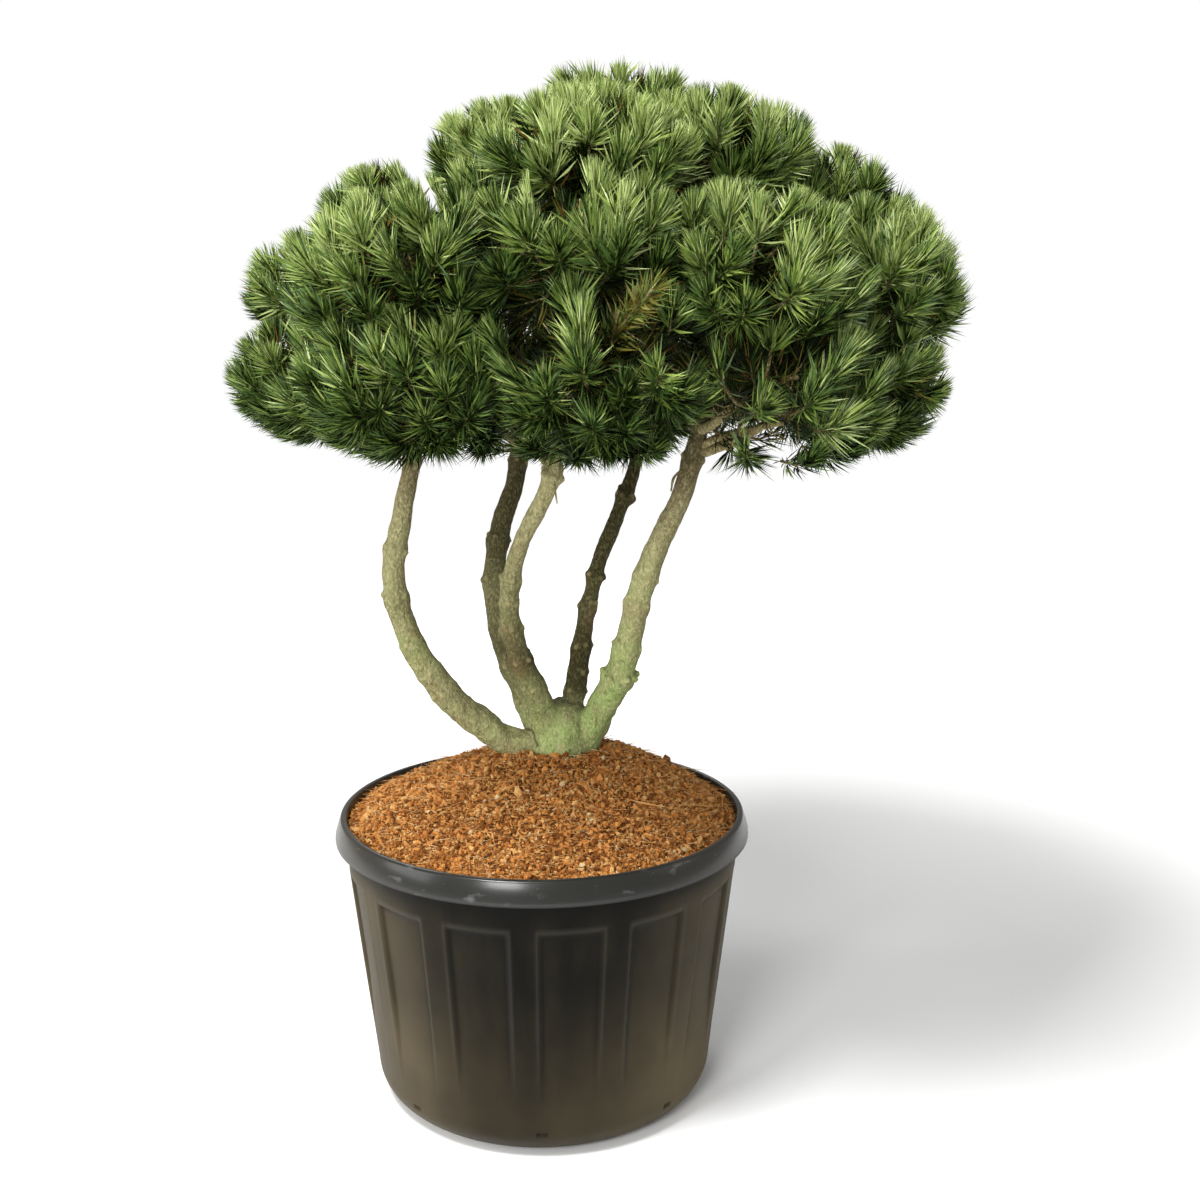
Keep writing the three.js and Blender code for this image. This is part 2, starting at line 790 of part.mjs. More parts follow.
// Where the shoots of a mass stand: on its open side, with room to grow and clear of limbs.
function placeShoots(mass, limbPoints, random) {
  const ring = (mass.half.x + mass.half.z) / 2 * foliage.spread;
  const count = Math.round((4 * Math.PI * ring * ring) / foliage.spacing ** 2);
  const shoots = [];
  for (const direction of evenDirections(count, random() * Math.PI * 2)) {
    const offset = direction.clone().multiply(mass.half);
    const room = roomAlong(mass, mass.centre, mass.centre.clone().add(offset));
    const axis = direction.clone();
    axis.z += direction.z > foliage.under ? foliage.upward : foliage.upwardBelow;
    axis.normalize();
    const foot = Math.min(foliage.core, room * foliage.footShare);
    const root = mass.centre.clone().addScaledVector(offset, foot);
    const base = root.clone().addScaledVector(axis, -foliage.sunk);
    const peak = base.clone().addScaledVector(axis, foliage.shoot);
    const length = foliage.shoot * Math.min(1, roomAlong(mass, base, peak) * foliage.coreFit);
    const heart = base.clone().addScaledVector(axis, length * foliage.heart);
    const open = direction.dot(mass.outward) > foliage.hidden && room > foliage.seam;
    const clear = clearOfLimbs(heart, limbPoints, foliage.shootGap);
    if (open && clear && length > foliage.shoot * foliage.least) {
      shoots.push({ root, base, axis, length });
    }
  }
  return shoots;
}

// The one stem of a mass: from just clear of its limb's tip to near the mass's middle.
function massStem(mass) {
  const { tip, along } = mass.feeder;
  const start = tip.clone().addScaledVector(along, GAP);
  const bend = start.clone().addScaledVector(along, twig.straight);
  const end = mass.centre.clone().lerp(start, twig.short);
  const curve = new THREE.QuadraticBezierCurve3(start, bend, end);
  const limb = { curve, radiusAt: () => twig.radius, sides: bough.sides };
  return bendAlong(limb, evenStations(0, 1, 1));
}

function buildMass(mass, seed, limbs) {
  const random = randomFrom(seed);
  const limbPoints = limbPointsNear(mass, limbs);
  const dome = new THREE.Vector3(crown.x, crown.y, crown.eave);
  mass.outward = mass.centre.clone().sub(dome).normalize();
  const shoots = placeShoots(mass, limbPoints, random);
  const roots = shoots.map(({ root }) => root);
  const pieces = [solidOf(massCore(mass, roots, limbPoints, random))];
  for (const shoot of shoots) {
    pieces.push(solidOf(needledShoot(mass, shoot, limbPoints, random)));
  }
  pieces.push(solidOf(massStem(mass)));
  return wasm.Manifold.union(pieces);
}

// ---------------------------------------------------------------------------
// The plant in its pot
// ---------------------------------------------------------------------------

addPiece('pot', geometryOf(buildPot()), 'pot');
addPiece('soil', geometryOf(buildSoil()), 'soil');
addPiece('root_crown', geometryOf(buildRootCrown()), 'bark');

const fatLimbs = [];
for (const [name, limb] of Object.entries(stemLimbs)) {
  const clear = GAP / limb.length;
  const from = shareAtHeight(limb.curve, rootCrown.stubTop) + clear;
  const split = shareAtHeight(limb.curve, stems[name].split);
  const upper = stemStations(limb, split + clear, 1);
  addPiece(`stem_${name}_lower`, bendAlong(limb, stemStations(limb, from, split)), 'bark');
  addPiece(`stem_${name}_upper`, bendAlong(limb, upper), 'bark');
  fatLimbs.push(solidOf(bendAlong(limb, upper, GAP)));
}
for (const [name, limb] of Object.entries(boughLimbs)) {
  const shape = (grow) => bendAlong(limb, evenStations(0, 1, bough.steps), grow);
  addPiece(`bough_${name}`, geometryOf(cutClear(solidOf(shape(0)), fatLimbs)), 'bark');
  fatLimbs.push(solidOf(shape(GAP)));
}

const allLimbs = [...Object.values(stemLimbs), ...Object.values(boughLimbs)];
masses.forEach((mass, i) => {
  const solid = cutClear(buildMass(mass, foliage.firstSeed + i, allLimbs), fatLimbs);
  addPiece(`needles_${mass.name}`, geometryOf(solid), 'needles');
});

export default plant;
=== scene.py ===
# %% [markdown]
# # A mugo pine on five stems, in its nursery pot
#
# The real plant is a slow mountain pine that a nursery has raised on five bare stems and
# clipped to a dome, and sells in the round black tub that it grew in. This lesson dresses the
# finished construction model of it. The frame gives the sizes of pot and mound, and the lines
# of the stems and the rule of the crown are written again here in the model's own numbers.
# Nothing of the frame is moved. A new piece stands in for a plain solid, and fills the same
# space with finer shapes.
# %% Load the construction model
import math

import bmesh
import bpy
import numpy as np
from mathutils import Matrix, Vector, noise


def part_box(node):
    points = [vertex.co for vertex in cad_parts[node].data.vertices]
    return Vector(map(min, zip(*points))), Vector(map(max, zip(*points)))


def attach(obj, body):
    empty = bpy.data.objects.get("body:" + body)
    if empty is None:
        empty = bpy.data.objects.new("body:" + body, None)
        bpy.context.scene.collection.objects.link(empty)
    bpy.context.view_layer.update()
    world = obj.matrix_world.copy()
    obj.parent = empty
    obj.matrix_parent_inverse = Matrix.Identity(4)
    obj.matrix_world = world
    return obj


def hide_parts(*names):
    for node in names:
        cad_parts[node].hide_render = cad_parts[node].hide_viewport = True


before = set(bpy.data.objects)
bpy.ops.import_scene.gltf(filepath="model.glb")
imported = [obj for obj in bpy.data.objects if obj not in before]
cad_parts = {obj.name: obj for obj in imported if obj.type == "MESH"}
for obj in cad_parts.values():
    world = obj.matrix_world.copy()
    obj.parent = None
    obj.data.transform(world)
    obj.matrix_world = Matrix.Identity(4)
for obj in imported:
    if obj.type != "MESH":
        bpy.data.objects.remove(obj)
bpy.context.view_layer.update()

# %% [markdown]
# ## Camera, floor and light
#
# A product picture of a plant is taken with a normal lens from about chest height, tilted
# down a little, so the mound of mulch shows inside the rim. The floor is one pale sheet. The
# light is a white tent: a bright sky all round, one strong lamp over the front and weaker
# ones round about. Lamps are cheap to make as area lights, because a large area gives the
# soft-edged shadow that a tent gives.
# %% Camera
FOCAL_PIXELS = 1383.3
IMAGE_PIXELS = 1200
SENSOR_WIDTH = 36.0
CAMERA_PLACE = (0.104, -2.405, 1.354)
CAMERA_TILT = 10.72


def into_scene(name, data):
    """A new object of the scene, which stays at the origin until it is placed."""
    made = bpy.data.objects.new(name, data)
    bpy.context.scene.collection.objects.link(made)
    return made


lens = bpy.data.cameras.new("product_lens")
lens.sensor_fit = "HORIZONTAL"
lens.sensor_width = SENSOR_WIDTH
lens.lens = SENSOR_WIDTH * FOCAL_PIXELS / IMAGE_PIXELS
camera = into_scene("product_camera", lens)
camera.location = CAMERA_PLACE
camera.rotation_euler = (math.radians(90 - CAMERA_TILT), 0, 0)
bpy.context.scene.camera = camera
bpy.context.scene.view_settings.view_transform = "Standard"
print(f"lens {lens.lens:.1f} mm")

# %% Colours, plain materials and links
SCREEN_POWER = 2.2


def linear(red, green, blue):
    """A colour given in the 0 to 255 of a paint chart, as the linear light that shaders use."""
    return tuple((c / 255) ** SCREEN_POWER for c in (red, green, blue))


def plain_material(name, color, roughness, specular):
    """A material of one even colour, and its Principled shader."""
    material = bpy.data.materials.new(name)
    material.use_nodes = True
    shader = material.node_tree.nodes["Principled BSDF"]
    shader.inputs["Base Color"].default_value = (*color, 1)
    shader.inputs["Roughness"].default_value = roughness
    shader.inputs["Specular IOR Level"].default_value = specular
    return material, shader


def wire(tree, *links):
    """Makes links in a tree: each names a node and its output, then a node and its input."""
    for start, output, end, entry in links:
        tree.links.new(start.outputs[output], end.inputs[entry])


print("middle grey gives", round(linear(128, 128, 128)[0], 2), "of full light")

# %% Floor
FLOOR_SIZE = 14.0
FLOOR_WHITE = linear(246, 246, 245)
FLOOR_ROUGHNESS = 0.8
FLOOR_SPECULAR = 0.1
FLOOR_FADE = (1.1, 3.4)
FLOOR_GLOW = 0.66


def mesh_of(bm, name):
    """The finished mesh of a bmesh, which is freed."""
    mesh = bpy.data.meshes.new(name)
    bm.to_mesh(mesh)
    bm.free()
    return mesh


def floor_finish():
    """A flat white sheet that glows more and more away from the pot, where a tent's sheet would
    curve up.
    """
    material, shader = plain_material("floor_sheet", FLOOR_WHITE, FLOOR_ROUGHNESS,
                                      FLOOR_SPECULAR)
    shader.inputs["Emission Strength"].default_value = FLOOR_GLOW
    tree = material.node_tree
    place = tree.nodes.new("ShaderNodeTexCoord")
    away = tree.nodes.new("ShaderNodeVectorMath")
    away.operation = "LENGTH"
    fade = tree.nodes.new("ShaderNodeMapRange")
    fade.interpolation_type = "SMOOTHSTEP"
    fade.inputs["From Min"].default_value, fade.inputs["From Max"].default_value = FLOOR_FADE
    wire(tree, (place, "Object", away, 0), (away, "Value", fade, "Value"),
         (fade, "Result", shader, "Emission Color"))
    return material


sheet = bmesh.new()
bmesh.ops.create_grid(sheet, x_segments=8, y_segments=8, size=FLOOR_SIZE / 2)
floor = into_scene("floor", mesh_of(sheet, "floor"))
floor.data.materials.append(floor_finish())
print(f"floor {FLOOR_SIZE} m wide")

# %% White tent
TENT_GLOW = 0.36
BACKDROP_GLOW = 1.0
WHITE = (1, 1, 1, 1)

tent = bpy.data.worlds.new("tent")
tent.use_nodes = True
bpy.context.scene.world = tent
sky = tent.node_tree
glow = sky.nodes["Background"]
backdrop = sky.nodes.new("ShaderNodeBackground")
for light, strength in ((glow, TENT_GLOW), (backdrop, BACKDROP_GLOW)):
    light.inputs["Color"].default_value = WHITE
    light.inputs["Strength"].default_value = strength
choose = sky.nodes.new("ShaderNodeMixShader")
sight = sky.nodes.new("ShaderNodeLightPath")
wire(sky, (sight, "Is Camera Ray", choose, "Fac"), (glow, "Background", choose, 1),
     (backdrop, "Background", choose, 2), (choose, "Shader", sky.nodes["World Output"], "Surface"))
print(f"the tent glows {TENT_GLOW}, and the camera sees it at {BACKDROP_GLOW}")

# %% Soft lamps
CROWN_MIDDLE = (0.1, 0.0, 1.3)
SOIL_MIDDLE = (0.0, 0.0, 0.8)
LAMPS = {
    "lamp_over_front": ((-1.1, -1.7, 4.2), CROWN_MIDDLE, 1.0, 185),
    "lamp_front": ((-1.3, -4.0, 2.4), SOIL_MIDDLE, 1.4, 132),
    "lamp_left": ((-3.6, -1.2, 1.9), CROWN_MIDDLE, 2.0, 52),
    "lamp_right": ((3.8, -0.8, 2.2), CROWN_MIDDLE, 2.0, 8),
    "lamp_back": ((-0.9, 3.2, 3.6), CROWN_MIDDLE, 2.0, 42),
}


def soft_lamp(name, place, aim, size, power):
    """A square area light that looks from its place at the aim point."""
    lamp = bpy.data.lights.new(name, "AREA")
    lamp.size = size
    lamp.energy = power
    body = into_scene(name, lamp)
    body.location = place
    body.rotation_euler = (Vector(aim) - Vector(place)).to_track_quat("-Z", "Y").to_euler()


for name, values in LAMPS.items():
    soft_lamp(name, *values)
print(len(LAMPS), "lamps")

# %% [markdown]
# ## Helpers that every piece uses
#
# A piece is a mesh whose own object stays at the origin, so its place is in its points, as in
# the frame. It names the body that it rides on, the solids that it stands for and the slot
# of its finish.
# %% Make a piece


def add_piece(name, mesh, materials, nodes=(), smooth=True):
    """Puts a finished mesh in the scene as a piece of the plant."""
    for material in materials:
        mesh.materials.append(material)
    mesh.polygons.foreach_set("use_smooth", np.full(len(mesh.polygons), smooth))
    piece = into_scene(name, mesh)
    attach(piece, "root")
    if nodes:
        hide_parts(*nodes)
    print(f"{name}: {len(mesh.polygons)} faces")


def put_attribute(mesh, name, values):
    """One number for each point of a mesh, which a material can read by name."""
    marks = mesh.attributes.new(name, "FLOAT", "POINT")
    marks.data.foreach_set("value", np.ascontiguousarray(values, np.float32))


print("pieces start at the origin and ride on the root body")

# %% [markdown]
# ## Effects that several finishes share
#
# Every finish starts from one colour and one gloss, and noise on Object coordinates breaks it
# up, so the pattern stays where it is on the piece. Two effects come back in many finishes, so
# they are node groups: `mottle` makes soft patches, and `crust` makes the height of a rough
# surface. A group only hands out masks and heights. The shader itself stays in each material.
# %% Soft patches
PATCH_DETAIL = 4


def new_group(name, inputs, output):
    """An empty shader group with float and vector inputs and one float output."""
    group = bpy.data.node_groups.new(name, "ShaderNodeTree")
    for title, value in inputs.items():
        kind = "NodeSocketVector" if value is None else "NodeSocketFloat"
        socket = group.interface.new_socket(title, in_out="INPUT", socket_type=kind)
        if value is not None:
            socket.default_value = value
    group.interface.new_socket(output, in_out="OUTPUT", socket_type="NodeSocketFloat")
    return group, group.nodes.new("NodeGroupInput"), group.nodes.new("NodeGroupOutput")


def build_mottle():
    """Soft patches: 0 where the noise is under Low, 1 where it is over High."""
    inputs = {"Vector": None, "Scale": 10.0, "Low": 0.4, "High": 0.6}
    group, given, result = new_group("mottle", inputs, "Mask")
    patches = group.nodes.new("ShaderNodeTexNoise")
    patches.inputs["Detail"].default_value = PATCH_DETAIL
    spread = group.nodes.new("ShaderNodeMapRange")
    spread.interpolation_type = "SMOOTHSTEP"
    wire(group, (given, "Vector", patches, "Vector"), (given, "Scale", patches, "Scale"),
         (patches, "Fac", spread, "Value"), (given, "Low", spread, "From Min"),
         (given, "High", spread, "From Max"), (spread, "Result", result, "Mask"))
    return group


MOTTLE = build_mottle()
print("group", MOTTLE.name, "of", len(MOTTLE.nodes), "nodes")

# %% Rough crust
CRACK_WIDTH = 0.18
GRAIN_DETAIL = 6
GRAIN_FINER = 2.5


def build_crust():
    """The height of a rough surface: coarse scales with cracks between, and a fine grain."""
    inputs = {"Vector": None, "Scale": 60.0, "Grain": 0.4}
    group, given, result = new_group("crust", inputs, "Height")
    scales = group.nodes.new("ShaderNodeTexVoronoi")
    scales.feature = "DISTANCE_TO_EDGE"
    crack = group.nodes.new("ShaderNodeMapRange")
    crack.inputs["From Max"].default_value = CRACK_WIDTH
    fine = group.nodes.new("ShaderNodeTexNoise")
    fine.inputs["Detail"].default_value = GRAIN_DETAIL
    finer = group.nodes.new("ShaderNodeMath")
    finer.operation = "MULTIPLY"
    finer.inputs[1].default_value = GRAIN_FINER
    total = group.nodes.new("ShaderNodeMath")
    total.operation = "MULTIPLY_ADD"
    wire(group, (given, "Vector", scales, "Vector"), (given, "Vector", fine, "Vector"),
         (given, "Scale", scales, "Scale"), (given, "Scale", finer, 0),
         (finer, "Value", fine, "Scale"), (scales, "Distance", crack, "Value"),
         (fine, "Fac", total, 0), (given, "Grain", total, 1), (crack, "Result", total, 2),
         (total, "Value", result, "Height"))
    return group


CRUST = build_crust()
print("group", CRUST.name, "of", len(CRUST.nodes), "nodes")

# %% A material under construction


class Finish:
    """A material under construction: Object coordinates, groups, mixes and a bump."""

    def __init__(self, name, color, roughness, specular=0.5):
        self.material, self.shader = plain_material(name, color, roughness, specular)
        self.tree = self.material.node_tree
        self.place = self.node("ShaderNodeTexCoord").outputs["Object"]

    def node(self, kind, **values):
        made = self.tree.nodes.new(kind)
        for title, value in values.items():
            made.inputs[title].default_value = value
        return made

    def link(self, start, end):
        self.tree.links.new(start, end)

    def stretched(self, scale):
        """Object coordinates with each axis scaled, to draw a pattern out along one."""
        mapping = self.node("ShaderNodeMapping", Scale=scale)
        self.link(self.place, mapping.inputs["Vector"])
        return mapping.outputs["Vector"]

    def effect(self, group, place=None, **values):
        made = self.tree.nodes.new("ShaderNodeGroup")
        made.node_tree = group
        for title, value in values.items():
            made.inputs[title].default_value = value
        self.link(place or self.place, made.inputs["Vector"])
        return made.outputs[0]

    def mix(self, mask, first, second, strength=None):
        """The first colour where the mask is 0 and the second where it is 1, or less of it."""
        made = self.tree.nodes.new("ShaderNodeMix")
        made.data_type = "RGBA"
        if strength is not None:
            mask = self.math("MULTIPLY", mask, strength)
        self.link(mask, made.inputs["Factor"])
        for socket, value in zip((made.inputs[6], made.inputs[7]), (first, second)):
            if isinstance(value, tuple):
                socket.default_value = (*value, 1)
            else:
                self.link(value, socket)
        return made.outputs[2]

    def math(self, operation, first, second, third=0.0):
        made = self.tree.nodes.new("ShaderNodeMath")
        made.operation = operation
        for socket, value in zip(made.inputs, (first, second, third)):
            if isinstance(value, (int, float)):
                socket.default_value = value
            else:
                self.link(value, socket)
        return made.outputs["Value"]

    def ramp(self, value, low, high):
        """0 where the value is at low, and 1 where it is at high."""
        made = self.node("ShaderNodeMapRange", **{"From Min": low, "From Max": high})
        made.interpolation_type = "SMOOTHSTEP"
        self.link(value, made.inputs["Value"])
        return made.outputs["Result"]

    def axis(self, name):
        """One of the Object coordinates, in metres: Y is how far back, Z is how high."""
        split = self.node("ShaderNodeSeparateXYZ")
        self.link(self.place, split.inputs["Vector"])
        return split.outputs[name]

    def attribute(self, name):
        made = self.tree.nodes.new("ShaderNodeAttribute")
        made.attribute_name = name
        return made.outputs["Fac"]

    def color(self, value):
        self.link(value, self.shader.inputs["Base Color"])

    def roughness(self, value):
        self.link(value, self.shader.inputs["Roughness"])

    def coat(self, value, roughness):
        """A second, clearer gloss over the surface, as strong as the value says."""
        self.shader.inputs["Coat Roughness"].default_value = roughness
        self.link(value, self.shader.inputs["Coat Weight"])

    def bump(self, height, distance):
        made = self.node("ShaderNodeBump", Distance=distance, Strength=1.0)
        self.link(height, made.inputs["Height"])
        self.link(made.outputs["Normal"], self.shader.inputs["Normal"])


print("a finish knows", *(word for word in vars(Finish) if not word.startswith("_")))

# %% [markdown]
# ## The nursery pot
#
# A grower's tub of this size is blown or moulded from black polythene, here 8 mm thick. A
# sloping rim stands over a skirt edge, a plain neck runs under it, and fourteen shallow panels
# stiffen the wall between broad ribs and run out towards the rounded foot, where eight slots
# let the water out. It could be lofted ring by ring, but everything on it is round, so one
# outline is drawn, its rim is bevelled, and it is spun. The panels are then pressed in
# by moving the wall's points, as the mould does, and the slots are inset faces.
# %% Sizes of the pot
pot_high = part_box("pot")[1]
POT_HEIGHT = pot_high.z
RIM_RADIUS = pot_high.x
RIM_TOP_RADIUS = RIM_RADIUS - 0.0105
RIM_BAND = 0.040
NECK_RADIUS = RIM_RADIUS - 0.017
FOOT_RADIUS = 0.307
FOOT_ROUND = 0.060
POT_WALL = 0.008
POT_FLOOR = 0.008
LIP_WIDTH = 0.010
SKIRT = POT_HEIGHT - RIM_BAND
SKIRT_DROP = 0.002
POT_STEPS = 700


def wall_radius(height):
    """The outer radius of the wall's ribs, without the panels."""
    share = (height - FOOT_ROUND) / (SKIRT - FOOT_ROUND)
    return FOOT_RADIUS + (NECK_RADIUS - FOOT_RADIUS) * share


print(f"pot {2 * RIM_RADIUS:.3f} m across the rim, {POT_HEIGHT:.3f} m high")

# %% Outline of the pot
FOOT_STEPS = 15
WALL_ROW = 0.009
RIM_EDGE_HIGH = 0.006
RIM_EDGE_SLOPE = 0.0005
LIP_DROP = 0.001


def foot_arc():
    """The quarter round at the foot of the wall."""
    points = []
    for i in range(FOOT_STEPS + 1):
        angle = math.pi / 2 * i / FOOT_STEPS
        radius = FOOT_RADIUS - FOOT_ROUND * (1 - math.sin(angle))
        points.append((radius, FOOT_ROUND * (1 - math.cos(angle))))
    return points


def pot_outline():
    """Its three stretches: up the outside, over the rim and down the inside to the middle."""
    rows = math.ceil((SKIRT - FOOT_ROUND) / WALL_ROW)
    heights = [FOOT_ROUND + (SKIRT - FOOT_ROUND) * i / rows for i in range(1, rows)]
    outside = [(0, 0), *foot_arc(), *((wall_radius(z), z) for z in heights)]
    rim = [
        (NECK_RADIUS, SKIRT),
        (RIM_RADIUS, SKIRT - SKIRT_DROP),
        (RIM_RADIUS - RIM_EDGE_SLOPE, SKIRT + RIM_EDGE_HIGH),
        (RIM_TOP_RADIUS, POT_HEIGHT - LIP_DROP),
        (RIM_TOP_RADIUS - LIP_WIDTH, POT_HEIGHT),
    ]
    inside = [
        (wall_radius(SKIRT) - POT_WALL, SKIRT),
        (wall_radius(FOOT_ROUND) - POT_WALL, FOOT_ROUND + POT_FLOOR),
        (FOOT_RADIUS - FOOT_ROUND, POT_FLOOR),
        (0, POT_FLOOR),
    ]
    return outside, rim, inside


print("the outline has", sum(len(stretch) for stretch in pot_outline()), "corners")

# %% Spin the outline
MERGE = 1e-6
RIM_BEVELS = {0: 0.003, 1: 0.0012, 3: 0.004, 4: 0.0035, 5: 0.008}


def chain(bm, points):
    """Points joined one after another by edges."""
    corners = [bm.verts.new(point) for point in points]
    for pair in zip(corners, corners[1:]):
        bm.edges.new(pair)
    return corners


def spin_round(bm, steps):
    """Spins all that a bmesh holds once round the upright axis, and merges the poles."""
    bmesh.ops.spin(bm, geom=bm.verts[:] + bm.edges[:], axis=(0, 0, 1), cent=(0, 0, 0),
                   dvec=(0, 0, 0), angle=2 * math.pi, steps=steps, use_merge=True,
                   use_duplicate=False)
    bmesh.ops.remove_doubles(bm, verts=bm.verts, dist=MERGE)


def spun_pot():
    """The pot without panels: the corners of its rim are rounded before it is spun."""
    outside, rim, inside = pot_outline()
    bm = bmesh.new()
    corners = chain(bm, [(r, 0, z) for r, z in (*outside, *rim, *inside)])
    for corner, size in RIM_BEVELS.items():
        bmesh.ops.bevel(bm, geom=[corners[len(outside) + corner]], offset=size, segments=3,
                        profile=0.5, affect="VERTICES", material=-1)
    spin_round(bm, POT_STEPS)
    bmesh.ops.recalc_face_normals(bm, faces=bm.faces)
    return bm


pot_shape = spun_pot()
print("spun pot", len(pot_shape.faces), "faces")

# %% Press the panels in
PANELS = 14
PANEL_SHARE = 0.70
PANEL_TURN = -80.2
PANEL_DEPTH = 0.0062
PANEL_HEAD = 0.425
PANEL_FULL = 0.260
PANEL_FOOT = 0.080
PANEL_EDGE = 0.0070
BEAD_HEIGHT = 0.0007
BEAD_AT = -0.002
BEAD_WIDTH = 0.0025
WALL_TOP = SKIRT - 0.008


def smooth_step(value, low, high):
    """0 up to low and 1 from high on, with a smooth way between."""
    share = min(1.0, max(0.0, (value - low) / (high - low)))
    return share * share * (3 - 2 * share)


def panel_inside(angle, height):
    """How far a place lies inside the edge of the nearest panel: less than 0 on a rib."""
    pitch = 2 * math.pi / PANELS
    turned = (angle - math.radians(PANEL_TURN)) / pitch
    off = abs(turned - round(turned)) * pitch * wall_radius(height)
    half = pitch * PANEL_SHARE / 2 * wall_radius(height)
    return min(half - off, PANEL_HEAD - height)


def panel_press(angle, height):
    """How far the mould presses the wall in at a place, less the bead round the panel."""
    inside = panel_inside(angle, height)
    fade = smooth_step(height, PANEL_FOOT, PANEL_FULL)
    press = PANEL_DEPTH * smooth_step(inside, 0, PANEL_EDGE)
    bead = BEAD_HEIGHT * math.exp(-((inside - BEAD_AT) / BEAD_WIDTH) ** 2)
    return fade * (press - bead)


def press_panels(bm):
    for vert in bm.verts:
        x, y, z = vert.co
        radius = math.hypot(x, y)
        on_wall = FOOT_ROUND + 1e-4 < z < WALL_TOP
        if on_wall and radius > wall_radius(z) - POT_WALL / 2:
            press = panel_press(math.atan2(y, x), z)
            vert.co.xy *= (radius - press) / radius


press_panels(pot_shape)
pot_shape.normal_update()
print(PANELS, "panels pressed", PANEL_DEPTH, "m deep")

# %% Cut the drainage slots
DRAINS = 8
DRAIN_TURN = -88.5
DRAIN_HALF_WIDTH = 0.011
DRAIN_LOW = 0.041
DRAIN_HIGH = 0.055
DRAIN_DEPTH = 0.017
DRAIN_EDGE = 0.0012
DRAIN_TAPER = 0.0008


def cut_drains(bm):
    """Sinks the wall's faces at each slot: a narrow border first, and then the slot itself."""
    pitch = 2 * math.pi / DRAINS
    for i in range(DRAINS):
        angle = math.radians(DRAIN_TURN) + pitch * i
        out = Vector((math.cos(angle), math.sin(angle), 0))
        side = Vector((-out.y, out.x, 0))

        def in_slot(face):
            middle = face.calc_center_median()
            outer = middle.xy.length > FOOT_RADIUS - FOOT_ROUND + 1e-3
            low_enough = DRAIN_LOW < middle.z < DRAIN_HIGH
            faces_out = face.normal.dot(middle) > 0
            near = abs(middle.dot(side)) < DRAIN_HALF_WIDTH and middle.dot(out) > 0
            return outer and low_enough and faces_out and near

        slot = [face for face in bm.faces if in_slot(face)]
        bmesh.ops.inset_region(bm, faces=slot, thickness=DRAIN_EDGE, depth=0,
                               use_even_offset=True)
        bmesh.ops.inset_region(bm, faces=slot, thickness=DRAIN_TAPER, depth=-DRAIN_DEPTH,
                               use_even_offset=True)


cut_drains(pot_shape)
print("pot with panels and slots", len(pot_shape.faces), "faces")

# %% [markdown]
# The plastic is black, but a pot that stood in a nursery is never clean: a brown-grey dust
# clings to the lower wall and to the sides, where it also paints the sheen that the sides
# reflect, rain has washed it down in streaks, and trolleys have scuffed the rim. The rim is
# painted a lighter grey where light falls on its slope, and the neck under it is painted in its
# shadow. Dust is dull and the plastic has a waxy gloss, so the same mask that mixes the colours
# also sets the roughness. The edges of the ribs are rubbed pale, which also paints their
# highlight lines, and painted shade sits in the steps: both come from the rule that pressed the
# panels, kept as attributes.
# %% Rubbed edges with painted highlights, and painted shade in the steps
# Pale rubbed edges of the ribs, which also paint their highlight lines, and painted shade in the
# panels' steps
RUBBED_HIGHLIGHT_AT = -0.0015
RUBBED_HIGHLIGHT_WIDTH = 0.0024
STEP_SHADE_AT = 0.0062
STEP_SHADE_WIDTH = 0.0044


def mark_wear_highlight_and_shade(mesh):
    """Marks the rubbed edges of the ribs, which also paint their highlights, and painted shade in
    the panels' steps.
    """
    rubbed, grime = [], []
    for vert in mesh.vertices:
        x, y, z = vert.co
        inside = panel_inside(math.atan2(y, x), z)
        fade = smooth_step(z, PANEL_FOOT, PANEL_FULL) * (z < WALL_TOP)
        rubbed.append(fade * math.exp(-((inside - RUBBED_HIGHLIGHT_AT) / RUBBED_HIGHLIGHT_WIDTH) ** 2))
        grime.append(fade * math.exp(-((inside - STEP_SHADE_AT) / STEP_SHADE_WIDTH) ** 2))
    put_attribute(mesh, "rubbed", rubbed)
    put_attribute(mesh, "grime", grime)


pot_mesh = mesh_of(pot_shape, "nursery_pot")
mark_wear_highlight_and_shade(pot_mesh)
print("marked", *pot_mesh.attributes.keys())

# %% Dust on the wall, with the sheen of its sides painted in
LOW_DUST = 0.13
LOW_DUST_TOP = 0.34
STREAK_DUST = 0.065
# The dust on the sides also paints the sheen that the sides reflect; the front and the back get
# less of it
SIDE_DUST_AND_SHEEN = 0.44
SIDE_FROM_FRONT = (-0.345, -0.17)
SIDE_TO_BACK = (0.05, 0.32)
BACK_LOSS = -0.8
PATCH_RANGE = (0.5, 0.6)


